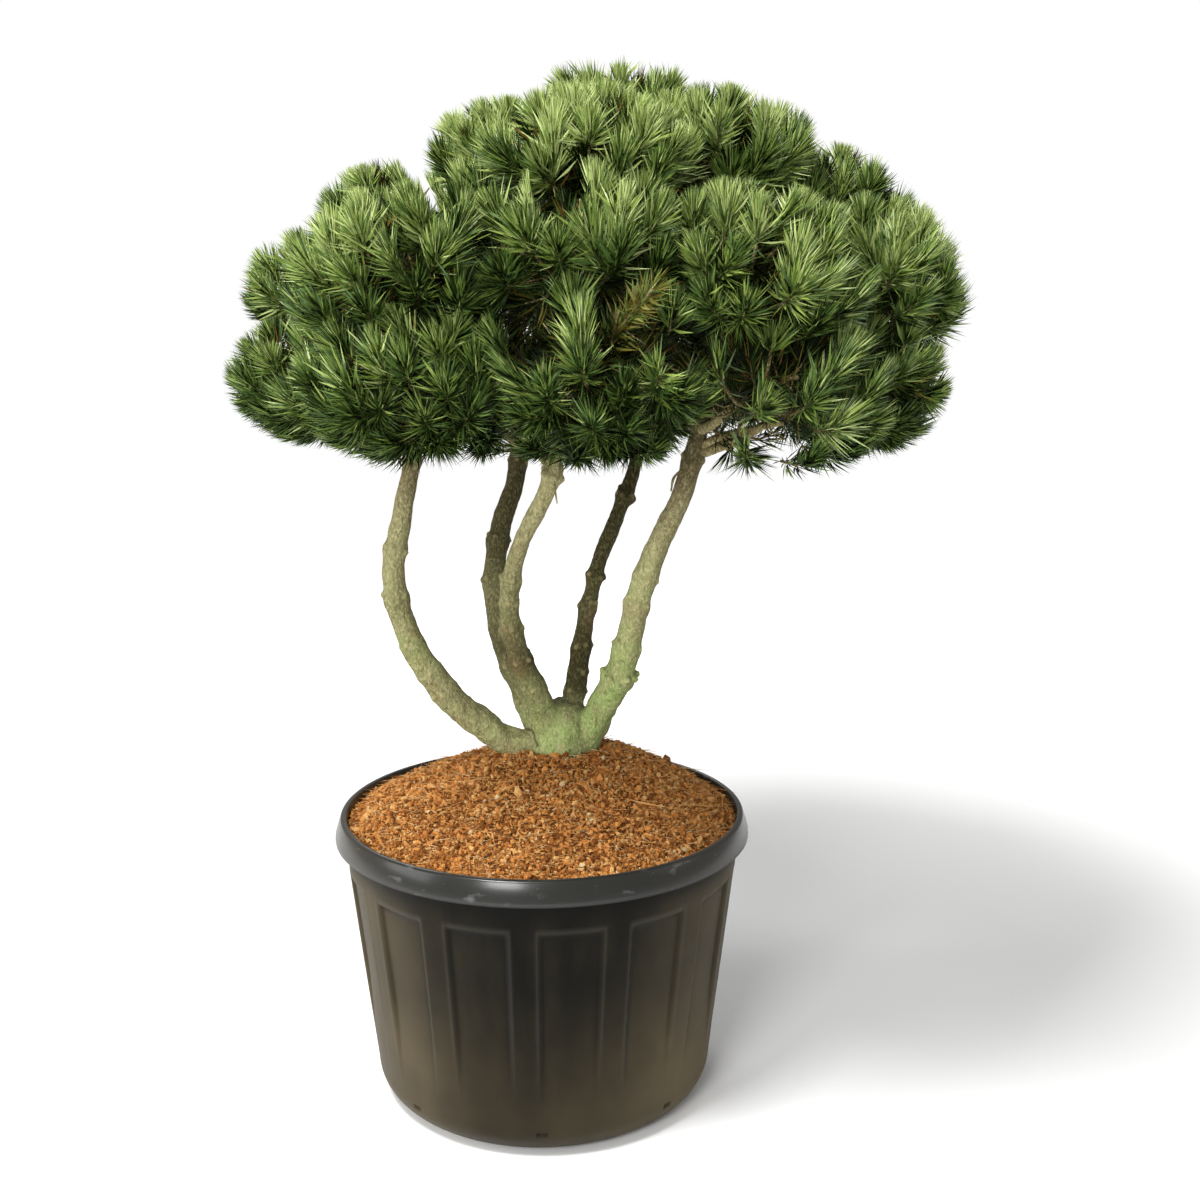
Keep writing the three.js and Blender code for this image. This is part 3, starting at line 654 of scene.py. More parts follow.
def dust_and_sheen_on(look):
    """How thick the dust lies: low down, in streaks and on the sides, where it also paints their
    sheen, all of it in patches.
    """
    streaks = look.effect(MOTTLE, look.stretched((1, 1, 0.3)), Scale=14, Low=0.35, High=0.75)
    patches = look.effect(MOTTLE, Scale=4.5, Low=0.30, High=0.75)
    depth = look.axis("Y")
    low_down = look.ramp(look.axis("Z"), LOW_DUST_TOP, 0.0)
    off_back = look.math("MULTIPLY_ADD", look.ramp(depth, *SIDE_TO_BACK), BACK_LOSS, 1.0)
    # Dust and painted sheen on the sides, less at the front and at the back
    side_on = look.math("MULTIPLY", look.ramp(depth, *SIDE_FROM_FRONT), off_back)
    dust_and_sheen = look.math("MULTIPLY", streaks, STREAK_DUST)
    dust_and_sheen = look.math("MULTIPLY_ADD", low_down, LOW_DUST, dust_and_sheen)
    dust_and_sheen = look.math("MULTIPLY_ADD", side_on, SIDE_DUST_AND_SHEEN, dust_and_sheen)
    return look.math("MULTIPLY", dust_and_sheen, look.math("MULTIPLY_ADD", patches, *PATCH_RANGE))


print(f"dust is thickest on the sides: {SIDE_DUST_AND_SHEEN} against {LOW_DUST} low down")

# %% Black plastic with dust, scuffs, and painted light, sheen and shade
BLACK = linear(16, 16, 15)
WALL_BLACK = linear(14, 14, 11)
# Painted light: the rim is given a lighter grey than the wall
RIM_LIT_GREY = linear(38, 38, 36)
DUST_AND_SHEEN_BROWN = linear(112, 100, 76)
STEP_SHADE_BLACK = linear(9, 9, 8)
RUBBED_HIGHLIGHT_GREY = linear(108, 104, 94)
SCUFF_GREY = linear(150, 150, 148)
# The band of neck under the rim, where the rim's shadow is painted by taking dust and sheen away
UNDER_RIM = (SKIRT - 0.05, SKIRT - 0.01)
RIM_SHADOW_LOSS = -0.8
STEP_SHADE_STRENGTH = 0.5
RUBBED_HIGHLIGHT_STRENGTH = 0.10
SCUFF_STRENGTH = 0.24
RIM_COAT = 0.6
RIM_COAT_ROUGHNESS = 0.20


def pot_finish():
    """Waxy black plastic with dust in its colour and its gloss, the sides' dust also painting their
    sheen, a scuffed rim painted lighter where light falls, painted shadow under it and painted
    shade in the steps.
    """
    look = Finish("black_polythene", BLACK, 0.34, specular=0.08)
    height = look.axis("Z")
    dust_and_sheen = dust_and_sheen_on(look)
    on_rim = look.ramp(height, SKIRT - 0.003, SKIRT + 0.001)
    # Painted shadow under the rim: dust and sheen fade out on the neck, which leaves it darker
    outside_rim_shadow = look.math("MULTIPLY_ADD", look.ramp(height, *UNDER_RIM), RIM_SHADOW_LOSS, 1.0)
    # Painted light: the rim's sloping band is a lighter grey than the wall
    plastic = look.mix(on_rim, WALL_BLACK, RIM_LIT_GREY)
    dusty_and_sheened = look.mix(look.math("MULTIPLY", dust_and_sheen, outside_rim_shadow), plastic, DUST_AND_SHEEN_BROWN)
    # Painted shade in the steps of the panels, and rubbed pale edges that also paint the highlight
    # lines
    dusty_and_sheened = look.mix(look.attribute("grime"), dusty_and_sheened, STEP_SHADE_BLACK, STEP_SHADE_STRENGTH)
    dusty_and_sheened = look.mix(look.attribute("rubbed"), dusty_and_sheened, RUBBED_HIGHLIGHT_GREY, RUBBED_HIGHLIGHT_STRENGTH)
    marks = look.effect(MOTTLE, look.stretched((1, 1, 2.2)), Scale=24, Low=0.60, High=0.78)
    scuffs = look.math("MULTIPLY", marks, look.math("MULTIPLY", on_rim, SCUFF_STRENGTH))
    look.color(look.mix(scuffs, dusty_and_sheened, SCUFF_GREY))
    look.roughness(look.math("MULTIPLY_ADD", dust_and_sheen, 0.5, 0.30))
    look.coat(look.math("MULTIPLY", on_rim, RIM_COAT), RIM_COAT_ROUGHNESS)
    grain = look.effect(CRUST, Scale=420, Grain=0.7)
    waves = look.effect(MOTTLE, look.stretched((1, 1, 3)), Scale=7, Low=0.2, High=0.8)
    look.bump(look.math("MULTIPLY_ADD", waves, 1.4, look.math("MULTIPLY", grain, 0.12)), 0.0004)
    return look.material


add_piece("nursery_pot", pot_mesh, [pot_finish()], ["pot"])


# %% [markdown]
# ## The mulch
#
# The tub is topped with composted bark and coir: crumbs of up to about a centimetre, orange
# brown, with straw-coloured fibres and a few pale flecks, heaped up to the root crown. A
# texture alone looks like carpet, so the heap is real crumbs. A bed follows the mound of
# the frame, and thousands of lumps of twenty faces, and finer grit, are laid on it by the
# golden angle, which spreads them evenly without a grid. Each kind is joined into one mesh as
# arrays, with one plain colour for each lump.
# %% The shape of the mound
soil_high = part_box("soil")[1]
MOUND_CREST = soil_high.z
MOUND_EDGE = MOUND_CREST - 0.111
MOUND_FLAT = 0.080
MOUND_FULLNESS = 1.35
FLAT_SHARE = 0.2
MOUND_RADIUS = RIM_TOP_RADIUS - LIP_WIDTH - 0.0046
ROOT_X = 0.036
ROOT_Y = 0.024
BANK_HEIGHT = 0.008
BANK_RADIUS = 0.075
BANK_WIDTH = 0.024


def mound_point(radius_share, angle):
    """A point on the mound: 0 at the crest and 1 at the edge. The crest stands off centre."""
    radius = MOUND_FLAT * min(1, radius_share / FLAT_SHARE)
    share = max(0, radius_share - FLAT_SHARE) / (1 - FLAT_SHARE)
    radius += (MOUND_RADIUS - MOUND_FLAT) * share
    fall = (MOUND_CREST - MOUND_EDGE) * share ** MOUND_FULLNESS
    rise = 1 - fall / (MOUND_CREST - MOUND_EDGE)
    bank = BANK_HEIGHT * math.exp(-((radius - BANK_RADIUS) / BANK_WIDTH) ** 2)
    return Vector((radius * math.cos(angle) + ROOT_X * rise,
                   radius * math.sin(angle) + ROOT_Y * rise, MOUND_CREST - fall + bank))


print(f"mound {MOUND_EDGE:.3f} to {MOUND_CREST:.3f} m high")

# %% The bed under the crumbs
BED_STEPS = 180
BED_ROWS = 48
BED_ROUGHNESS = 0.0045
BED_SINK = 0.003
BED_LUMPS = 55
BED_GAP = 0.001
BED_FOOT_GAP = 0.002


def bed_mesh():
    """A round grid laid over the mound, closed by a wall and a floor inside the pot."""
    bm = bmesh.new()
    line = chain(bm, [(max(1, i) / BED_ROWS, 0, 0) for i in range(BED_ROWS + 1)])
    line[0].co.x = 0
    spin_round(bm, BED_STEPS)
    for vert in bm.verts:
        share = vert.co.xy.length
        place = mound_point(share, math.atan2(vert.co.y, vert.co.x))
        lump = noise.fractal(place * BED_LUMPS, 0.8, 2.0, 3)
        vert.co = place + Vector((0, 0, lump * BED_ROUGHNESS - BED_SINK))
    rim_edges = [edge for edge in bm.edges if edge.is_boundary]
    grown = bmesh.ops.extrude_edge_only(bm, edges=rim_edges)
    wall = [item for item in grown["geom"] if isinstance(item, bmesh.types.BMVert)]
    for vert in wall:
        vert.co.xy *= (FOOT_RADIUS - FOOT_ROUND - BED_FOOT_GAP) / MOUND_RADIUS
        vert.co.z = POT_FLOOR + BED_GAP
    bmesh.ops.contextual_create(bm, geom=[e for e in bm.edges if e.is_boundary])
    bmesh.ops.recalc_face_normals(bm, faces=bm.faces)
    return mesh_of(bm, "mulch_bed")


bed = bed_mesh()
print("bed of", len(bed.vertices), "points")

# %% Finish of the bed


def bed_finish():
    look = Finish("mulch_bed", linear(160, 106, 56), 0.95, specular=0.15)
    light = look.effect(MOTTLE, Scale=95, Low=0.42, High=0.6)
    tones = look.mix(light, linear(120, 74, 36), linear(190, 134, 76))
    damp = look.effect(MOTTLE, Scale=7, Low=0.52, High=0.7)
    look.color(look.mix(damp, tones, linear(140, 90, 46)))
    look.bump(look.effect(CRUST, Scale=120, Grain=1.0), 0.004)
    return look.material


add_piece("mulch_bed", bed, [bed_finish()], ["soil"])

# %% Ways as arrays
TINY = 1e-12
STEEP = 0.9


def unit(vectors):
    """The given ways, each made 1 long."""
    return vectors / np.maximum(np.linalg.norm(vectors, axis=-1, keepdims=True), TINY)


def square_to(along):
    """Two ways that stand square to every way along, and to each other."""
    helper = np.where(np.abs(along[..., 2:]) < STEEP, [0.0, 0.0, 1.0], [1.0, 0.0, 0.0])
    side = unit(np.cross(along, helper))
    return side, np.cross(along, side)


def way_out(along, side, turn):
    """The way that points out of a line, turned round it from one of its side ways."""
    return math.cos(turn) * side + math.sin(turn) * np.cross(along, side)


print("square to +X:", *square_to(np.array([[1.0, 0.0, 0.0]])))

# %% Join many copies of one small shape


def small_shape(make, **values):
    """The points and triangles of a shape made by a bmesh operator, as arrays."""
    bm = bmesh.new()
    make(bm, **values)
    bmesh.ops.triangulate(bm, faces=bm.faces)
    points = np.array([v.co for v in bm.verts])
    triangles = np.array([[v.index for v in f.verts] for f in bm.faces])
    bm.free()
    return points, triangles


def mesh_from_arrays(name, points, triangles, tones=None):
    """A mesh of triangles from arrays, with a material number for each face if given."""
    mesh = bpy.data.meshes.new(name)
    mesh.vertices.add(len(points))
    mesh.vertices.foreach_set("co", np.ascontiguousarray(points, np.float32).ravel())
    mesh.loops.add(3 * len(triangles))
    mesh.loops.foreach_set("vertex_index", np.ascontiguousarray(triangles, np.int32).ravel())
    mesh.polygons.add(len(triangles))
    mesh.polygons.foreach_set("loop_start", np.arange(0, 3 * len(triangles), 3, dtype=np.int32))
    if tones is not None:
        mesh.polygons.foreach_set("material_index", np.ascontiguousarray(tones, np.int32))
    mesh.update(calc_edges=True)
    return mesh


def joined(copies, triangles):
    """One list of points and one of triangles, from the points of every copy of a shape."""
    count, size = copies.shape[:2]
    shift = (np.arange(count) * size)[:, None, None]
    return copies.reshape(-1, 3), (np.asarray(triangles)[None] + shift).reshape(-1, 3)


def joined_copies(shape, frames, places):
    """All copies of a shape: each has its own 3 by 3 frame and its own place."""
    points, triangles = shape
    return joined(np.einsum("nij,vj->nvi", frames, points) + places[:, None, :], triangles)


ball = small_shape(bmesh.ops.create_icosphere, subdivisions=1, radius=1)
grain = small_shape(bmesh.ops.create_uvsphere, u_segments=4, v_segments=2, radius=1)
print(f"a ball has {len(ball[1])} triangles and a grain has {len(grain[1])}")

# %% Tones of the mulch
MULCH_TONES = {
    "mulch_shade": linear(134, 80, 36),
    "mulch_brown": linear(186, 118, 58),
    "mulch_orange": linear(226, 152, 80),
    "mulch_tan": linear(238, 182, 112),
    "mulch_fleck": linear(236, 204, 150),
}


def crumb_finish(name, color):
    """One plain colour a crumb, broken by a rough grain."""
    look = Finish(name, color, 0.92, specular=0.2)
    look.bump(look.effect(CRUST, Scale=500, Grain=1.0), 0.0012)
    return look.material


mulch_looks = [crumb_finish(name, color) for name, color in MULCH_TONES.items()]
print(len(mulch_looks), "tones of mulch")

# %% Places on the mound
GOLDEN_ANGLE = math.pi * (3 - math.sqrt(5))
RADIUS_JITTER = 0.006
TURN_JITTER = 0.03


def on_mound(random, count, lift):
    """Places spread over the mound by the golden angle, each a little off."""
    shares = np.sqrt((np.arange(count) + 0.5) / count)
    shares = np.clip(shares + random.normal(0, RADIUS_JITTER, count), 0, 0.995)
    angles = np.arange(count) * GOLDEN_ANGLE + random.normal(0, TURN_JITTER, count)
    places = np.array([mound_point(s, a) for s, a in zip(shares, angles)])
    places[:, 2] += lift
    return places


def turned_frames(random, count):
    """Evenly random turns, as 3 by 3 matrices, from random unit quaternions."""
    w, x, y, z = np.moveaxis(unit(random.normal(size=(count, 4))), -1, 0)
    rows = [
        [1 - 2 * (y * y + z * z), 2 * (x * y - z * w), 2 * (x * z + y * w)],
        [2 * (x * y + z * w), 1 - 2 * (x * x + z * z), 2 * (y * z - x * w)],
        [2 * (x * z - y * w), 2 * (y * z + x * w), 1 - 2 * (x * x + y * y)],
    ]
    return np.moveaxis(np.array(rows), -1, 0)


print(f"golden angle {math.degrees(GOLDEN_ANGLE):.1f} degrees")

# %% Crumbs and grit
CRUMBS = 9900
CRUMB_SIZE = 0.0037
CRUMB_SPREAD = 0.30
CRUMB_SHARES = (0.14, 0.29, 0.34, 0.21, 0.02)
CRUMB_ROUGHNESS = 0.0005
GRIT = 17000
GRIT_SIZE = 0.0028
DAMP_PATCH = 0.075
DAMP_FROM = 0.12
DAMP_SHARE = 0.45


def crumb_mesh(name, lump, count, size, seed):
    """Many turned and squashed lumps of one small shape, laid on the mound."""
    random = np.random.default_rng(seed)
    sizes = size * np.exp(random.normal(0, CRUMB_SPREAD, count))
    places = on_mound(random, count, 0)
    places[:, 2] += sizes * random.uniform(-0.5, 0.7, count)
    shape = random.uniform((0.75, 0.55, 0.35), (1.5, 1.0, 0.8), (count, 3))
    frames = turned_frames(random, count) * (shape * sizes[:, None])[:, None, :]
    points, triangles = joined_copies(lump, frames, places)
    points += random.normal(0, CRUMB_ROUGHNESS, points.shape)
    tone = random.choice(len(MULCH_TONES), count, p=CRUMB_SHARES)
    damp = np.array([noise.noise(Vector(place) / DAMP_PATCH) for place in places]) > DAMP_FROM
    tone -= damp & (tone > 0) & (random.random(count) < DAMP_SHARE)
    return mesh_from_arrays(name, points, triangles, np.repeat(tone, len(lump[1])))


for name, *values in (("mulch_crumbs", ball, CRUMBS, CRUMB_SIZE, 11),
                      ("mulch_grit", grain, GRIT, GRIT_SIZE, 13)):
    add_piece(name, crumb_mesh(name, *values), mulch_looks, smooth=False)

# %% Fibres and straws
FIBRES = 3800
FIBRE_LENGTH = 0.027
FIBRE_WIDTH = 0.00065
FIBRE_SHARES = (0.05, 0.15, 0.25, 0.4, 0.15)
STRAWS = 46
STRAW_LENGTH = 0.075
STRAW_WIDTH = 0.0011


def spindles(foot, middle, tip, half_width):
    """Needles of six faces: pointed at both ends, with three points round the middle."""
    side, over = square_to(unit(tip - foot))
    ring = [middle + half_width[:, None] * (math.cos(a) * side + math.sin(a) * over)
            for a in np.arange(3) * 2 * math.pi / 3]
    faces = [(0, 2, 1), (0, 3, 2), (0, 1, 3), (1, 2, 4), (2, 3, 4), (3, 1, 4)]
    return joined(np.stack([foot, *ring, tip], 1), faces)


def fibre_mesh(name, count, long, wide, lift, tilt, seed):
    """Thin straw-like needles of five points that lie on the crumbs, each a little bowed."""
    random = np.random.default_rng(seed)
    places = on_mound(random, count, lift)
    turn = random.uniform(0, 2 * math.pi, count)
    along = np.stack([np.cos(turn), np.sin(turn), random.normal(0, tilt, count)], -1)
    length = long * np.exp(random.normal(0, 0.4, count))
    foot = places - along * length[:, None] / 2
    bow = np.stack([-np.sin(turn), np.cos(turn), np.full(count, 0.3)], -1)
    bow *= (length * random.normal(0, 0.1, count))[:, None]
    points, triangles = spindles(foot, foot + along * length[:, None] / 2 + bow,
                                 foot + along * length[:, None], np.full(count, wide))
    tone = random.choice(len(MULCH_TONES), count, p=FIBRE_SHARES)
    return mesh_from_arrays(name, points, triangles, np.repeat(tone, 6))


for name, *values in (("mulch_fibres", FIBRES, FIBRE_LENGTH, FIBRE_WIDTH, 0.004, 0.16, 12),
                      ("mulch_straws", STRAWS, STRAW_LENGTH, STRAW_WIDTH, 0.007, 0.05, 14)):
    add_piece(name, fibre_mesh(name, *values), mulch_looks, smooth=False)

# %% [markdown]
# ## Stems and root crown
#
# Five stems rise from one stump, lean out, bend and run up into the crown. Pine bark on
# wood of this age is thin: small scales, lumps where old shoots stood, swollen rings where
# each year's whorl of twigs was cut away, green algae low down and grey-brown bark higher.
# Every stem is a round tube bent along the same line as in the construction model. The
# tubes and the stump are then fused by a voxel remesh, so that they grow into each other as
# wood does, and the fused skin is smoothed and pushed in and out by noise.
# %% Lines of the stems
MM = 0.001
STEMS = {
    "left": {
        "line": [(16, 22, 622), (-58, 16, 632), (-112, 6, 672), (-158, -4, 716),
                 (-226, -14, 818), (-256, -24, 940), (-236, -33, 1062), (-214, -42, 1180),
                 (-232, -46, 1300), (-246, -50, 1425)],
        "radii": (29, 21, 9), "bend": 860,
        "knots": {905: 1.0, 992: 1.2, 1150: 1.0, 733: 0.5, 769: 0.4, 820: 0.45},
    },
    "back": {
        "line": [(2, 42, 630), (-34, 50, 724), (-72, 70, 812), (-90, 104, 930),
                 (-80, 132, 1010), (-52, 154, 1100), (-44, 150, 1300), (-56, 105, 1525)],
        "radii": (28, 21, 9), "bend": 880,
        "knots": {765: 0.8, 985: 1.2, 1130: 1.0, 835: 0.5, 915: 0.9},
    },
    "front": {
        "line": [(24, 14, 630), (-5, -22, 724), (-38, -50, 810), (-52, -78, 905),
                 (-29, -108, 1013), (20, -138, 1118), (50, -160, 1270), (78, -190, 1470)],
        "radii": (27, 17, 9), "bend": 880,
        "knots": {860: 0.8, 948: 1.0, 1132: 1.3, 750: 0.5, 801: 1.0, 909: 0.6},
    },
    "slim": {
        "line": [(46, 36, 630), (64, 52, 760), (82, 76, 870), (105, 95, 960),
                 (146, 120, 1060), (174, 138, 1150), (180, 122, 1350), (160, 62, 1575)],
        "radii": (20, 14.5, 8), "bend": 905,
        "knots": {717: 0.7, 752: 0.6, 798: 0.9, 872: 1.2, 925: 1.4, 1072: 2.0},
    },
    "right": {
        "line": [(66, 14, 625), (112, -6, 712), (141, -26, 780), (168, -50, 900),
                 (200, -68, 1000), (243, -88, 1100), (276, -100, 1240), (318, -90, 1500)],
        "radii": (30, 22, 9), "bend": 890,
        "knots": {762: 1.6, 817: 0.8, 898: 0.9, 950: 0.8, 1150: 1.0},
    },
}
print(len(STEMS), "stems")

# %% A limb
NEAR = 0.005


class Limb:
    """A middle line, sampled finely, with the radius at each share of its length."""

    def __init__(self, points, radii=None):
        self.points = np.asarray(points, float)
        steps = np.linalg.norm(np.diff(self.points, axis=0), axis=1)
        self.run = np.concatenate([[0], np.cumsum(steps)])
        self.length = self.run[-1]
        self.radii = radii

    def at(self, share):
        """The places on the middle line at the given shares of its length."""
        run = np.asarray(share) * self.length
        return np.stack([np.interp(run, self.run, axis) for axis in self.points.T], -1)

    def along(self, share):
        """The ways in which the line runs there."""
        share = np.clip(np.asarray(share, float), NEAR, 1 - NEAR)
        return unit(self.at(share + NEAR) - self.at(share - NEAR))

    def share_at_height(self, height):
        first = np.argmax(self.points[:, 2] >= height)
        low, high = self.points[first - 1, 2], self.points[first, 2]
        part = (height - low) / (high - low)
        return (self.run[first - 1] + part * (self.run[first] - self.run[first - 1])) / self.length

    def radius_at(self, share):
        return np.interp(share, np.linspace(0, 1, len(self.radii)), self.radii)


print("an upright limb of 1 m is", Limb([(0, 0, 0), (0, 0, 1)]).length, "m long")

# %% A smooth curve through corners


def centripetal_line(corners, steps=60):
    """A smooth curve through its corners, each stretch weighed by the root of its length."""
    corners = np.asarray(corners, float)
    padded = np.vstack([2 * corners[0] - corners[1], corners, 2 * corners[-1] - corners[-2]])
    points = []
    for before, start, end, after in zip(padded, padded[1:], padded[2:], padded[3:]):
        gaps = [np.linalg.norm(b - a) ** 0.5 for a, b in
                ((before, start), (start, end), (end, after))]
        leave = (start - before) / gaps[0] - (end - before) / (gaps[0] + gaps[1])
        leave = (leave + (end - start) / gaps[1]) * gaps[1]
        arrive = (end - start) / gaps[1] - (after - start) / (gaps[1] + gaps[2])
        arrive = (arrive + (after - end) / gaps[2]) * gaps[1]
        for t in np.arange(steps) / steps:
            points.append(start + leave * t + (3 * (end - start) - 2 * leave - arrive) * t ** 2
                          + (2 * (start - end) + leave + arrive) * t ** 3)
    return np.array([*points, corners[-1]])


print("3 corners give", len(centripetal_line([(0, 0, 0), (1, 0, 0), (1, 1, 0)])), "points")

# %% Stems as limbs
KNOT_SWELL = 0.18
KNOT_LENGTH = 0.012
STEM_SAMPLES = 600


def stem_limb(spec):
    """A stem: it tapers faster above its bend and swells at every knot."""
    limb = Limb(centripetal_line(np.array(spec["line"]) * MM))
    shares = np.linspace(0, 1, STEM_SAMPLES)
    foot, bend, tip = (radius * MM for radius in spec["radii"])
    bend_share = limb.share_at_height(spec["bend"] * MM)
    taper = np.interp(shares, (0, bend_share, 1), (foot, bend, tip))
    swell = np.zeros_like(shares)
    for height, size in spec["knots"].items():
        off = (shares - limb.share_at_height(height * MM)) * limb.length / KNOT_LENGTH
        swell += size * np.exp(-off ** 2)
    limb.radii = taper * (1 + KNOT_SWELL * swell)
    return limb


stem_limbs = {name: stem_limb(spec) for name, spec in STEMS.items()}
for name, limb in stem_limbs.items():
    print(f"stem {name}: {limb.length:.3f} m long")

# %% Bent tubes
SIDEWAYS = (0.0, 1.0, 0.0)


def bent_tube(bm, limb, shares, sides):
    """A grid rolled into a tube, bent along a limb, closed at both ends."""
    rows = len(shares) - 1
    made = bmesh.ops.create_grid(bm, x_segments=sides, y_segments=rows, size=0.5)
    verts = made["verts"]
    columns = np.array([v.co.x + 0.5 for v in verts])
    share = np.interp([v.co.y + 0.5 for v in verts], np.linspace(0, 1, rows + 1), shares)
    middle, along = limb.at(share), limb.along(share)
    side = unit(np.cross(SIDEWAYS, along))
    over = np.cross(along, side)
    turn = columns * 2 * math.pi
    radius = limb.radius_at(share)
    places = middle + radius[:, None] * (np.cos(turn)[:, None] * side
                                         + np.sin(turn)[:, None] * over)
    for vert, place in zip(verts, places):
        vert.co = place
    bmesh.ops.remove_doubles(bm, verts=verts, dist=MERGE)
    ends = [e for v in verts if v.is_valid for e in v.link_edges if e.is_boundary]
    bmesh.ops.holes_fill(bm, edges=list(set(ends)), sides=0)


print("the seam of a tube stands square to", SIDEWAYS)

# %% Scars of cut twigs
SCARS_PER_KNOT = 5
BURR_SCARS = 8
BURR = 1.5
SCAR_RADIUS = 0.0072
SCAR_REACH = 0.0042
SCAR_SPREAD = 0.007
SCAR_LARGEST = 1.3


def knot_scars(limb, spec, random):
    """Where the stubs of the cut whorls stand: foot, way out and size."""
    scars = []
    for height, size in spec["knots"].items():
        share = limb.share_at_height(height * MM)
        start = random.uniform(0, 2 * math.pi)
        count = BURR_SCARS if size > BURR else SCARS_PER_KNOT
        for i in range(count):
            turn = start + GOLDEN_ANGLE * i + random.uniform(-0.3, 0.3)
            along = limb.along(share)
            out = way_out(along, unit(np.cross(SIDEWAYS, along)), turn)
            lift = random.uniform(-SCAR_SPREAD, SCAR_SPREAD) * size
            foot = limb.at(share) + along * lift + out * limb.radius_at(share) * 0.5
            scale = min(SCAR_LARGEST, size) * random.uniform(0.6, 1.1)
            way = unit(out + 0.5 * along)
            reach = limb.radius_at(share) * 0.5 + SCAR_REACH * scale
            scars.append((foot, way, SCAR_RADIUS * (0.5 + 0.5 * scale), reach))
    return scars


def add_scar(bm, foot, way, radius, reach):
    """A stub of a cut twig: a short cone that stands out of the bark."""
    turn = Vector(way).to_track_quat("Z", "Y").to_matrix().to_4x4()
    middle = Matrix.Translation(Vector(foot) + Vector(way) * reach / 2)
    bmesh.ops.create_cone(bm, cap_ends=True, segments=10, radius1=radius * 1.5,
                          radius2=radius * 0.6, depth=reach, matrix=middle @ turn)


random = np.random.default_rng(21)
scars = []
for name, limb in stem_limbs.items():
    scars += knot_scars(limb, STEMS[name], random)
print(len(scars), "scars")

# %% Stump, stems and scars, fused by a voxel remesh
STEM_SIDES = 40
STEM_ROW = 0.006
STUMP = [(0, 604), (70, 604), (68, 614), (60, 640), (54, 668), (50, 690), (30, 706), (0, 710)]
STUMP_STEPS = 36
VOXEL = 0.0028


def rough_trunk():
    """The stump, the tubes and the scars, still separate closed shapes."""
    bm = bmesh.new()
    chain(bm, [(r * MM, 0, z * MM) for r, z in STUMP])
    spin_round(bm, STUMP_STEPS)
    bmesh.ops.translate(bm, verts=bm.verts, vec=(ROOT_X, ROOT_Y, 0))
    for limb in stem_limbs.values():
        rows = math.ceil(limb.length / STEM_ROW)
        bent_tube(bm, limb, np.linspace(0, 1, rows + 1), STEM_SIDES)
    for scar in scars:
        add_scar(bm, *scar)
    bmesh.ops.recalc_face_normals(bm, faces=bm.faces)
    return bm


def fused(bm, voxel):
    """A bmesh of overlapping closed shapes, made one skin by a voxel remesh."""
    mesh = mesh_of(bm, "rough")
    rough = into_scene("rough", mesh)
    remesh = rough.modifiers.new("fuse", "REMESH")
    remesh.mode = "VOXEL"
    remesh.voxel_size = voxel
    graph = bpy.context.evaluated_depsgraph_get()
    skin = bmesh.new()
    skin.from_mesh(rough.evaluated_get(graph).to_mesh())
    bpy.data.objects.remove(rough)
    bpy.data.meshes.remove(mesh)
    return skin


trunk = fused(rough_trunk(), VOXEL)
print("fused trunk", len(trunk.verts), "points")

# %% Shade, brown bark and algae up each stem
STEM_SHADES = {
    "left": ((0.68, 0.34), (0.73, 0.36), (0.80, 0.24), (0.87, 0.42), (0.98, 0.26), (1.05, 0.32),
             (1.14, 0.48)),
    "back": ((0.72, 0.44), (0.80, 0.84), (0.90, 0.68), (0.98, 0.92), (1.40, 0.94)),
    "front": ((0.70, 0.42), (0.75, 0.52), (0.80, 0.96), (0.87, 0.64), (0.96, 0.48), (1.03, 0.34),
              (1.10, 0.0)),
    "slim": ((0.70, 0.95), (0.80, 1.0), (0.88, 0.88), (0.94, 0.97), (1.40, 1.0)),
    "right": ((0.60, 0.0), (0.94, 0.0), (0.98, 0.10), (1.05, 0.06), (1.12, 0.36), (1.19, 0.76)),
}
STEM_BROWNS = {
    "left": ((1.06, 0.0), (1.14, 1.0)),
    "back": ((1.00, 0.0), (1.15, 1.0)),
    "front": ((1.13, 0.0), (1.20, 0.8)),
    "slim": ((1.00, 0.0), (1.15, 1.0)),
    "right": ((0.99, 0.05), (1.06, 0.25), (1.14, 1.0)),
}
STEM_ALGAE = {
    "left": ((0.66, 0.35), (0.76, 0.15), (0.81, 0.75), (0.86, 0.25), (0.96, 0.10), (1.1, 0.0)),
    "back": ((0.66, 0.60), (0.76, 0.20), (0.90, 0.15), (1.1, 0.0)),
    "front": ((0.66, 0.90), (0.74, 0.55), (0.82, 0.25), (0.90, 0.35), (1.0, 0.0)),
    "slim": ((0.66, 0.60), (0.80, 0.20), (0.95, 0.25), (1.1, 0.10)),
    "right": ((0.66, 1.00), (0.79, 0.95), (0.86, 0.35), (0.95, 0.30), (1.02, 0.0)),
}
print("shade, brown and algae each have", len(STEM_SHADES), "rows of height and value")

# %% Bark relief
RELIEF = ((26, 0.0022), (62, 0.0012), (150, 0.0006))
RELIEF_STRETCH = 0.7
BASE_RELIEF = 2.3
BASE_TOP = 0.76
BASE_FADE = 0.07


def bark_relief(place):
    """How far the bark stands out at a place: finer and finer lumps, deepest at the base."""
    point = Vector((place.x, place.y, place.z * RELIEF_STRETCH))
    base = min(1, max(0, (BASE_TOP - place.z) / BASE_FADE))
    lumps = sum(depth * noise.noise(point * scale) for scale, depth in RELIEF)
    return lumps * (1 + (BASE_RELIEF - 1) * base)


print("the coarsest lumps stand out by up to", RELIEF[0][1], "m")

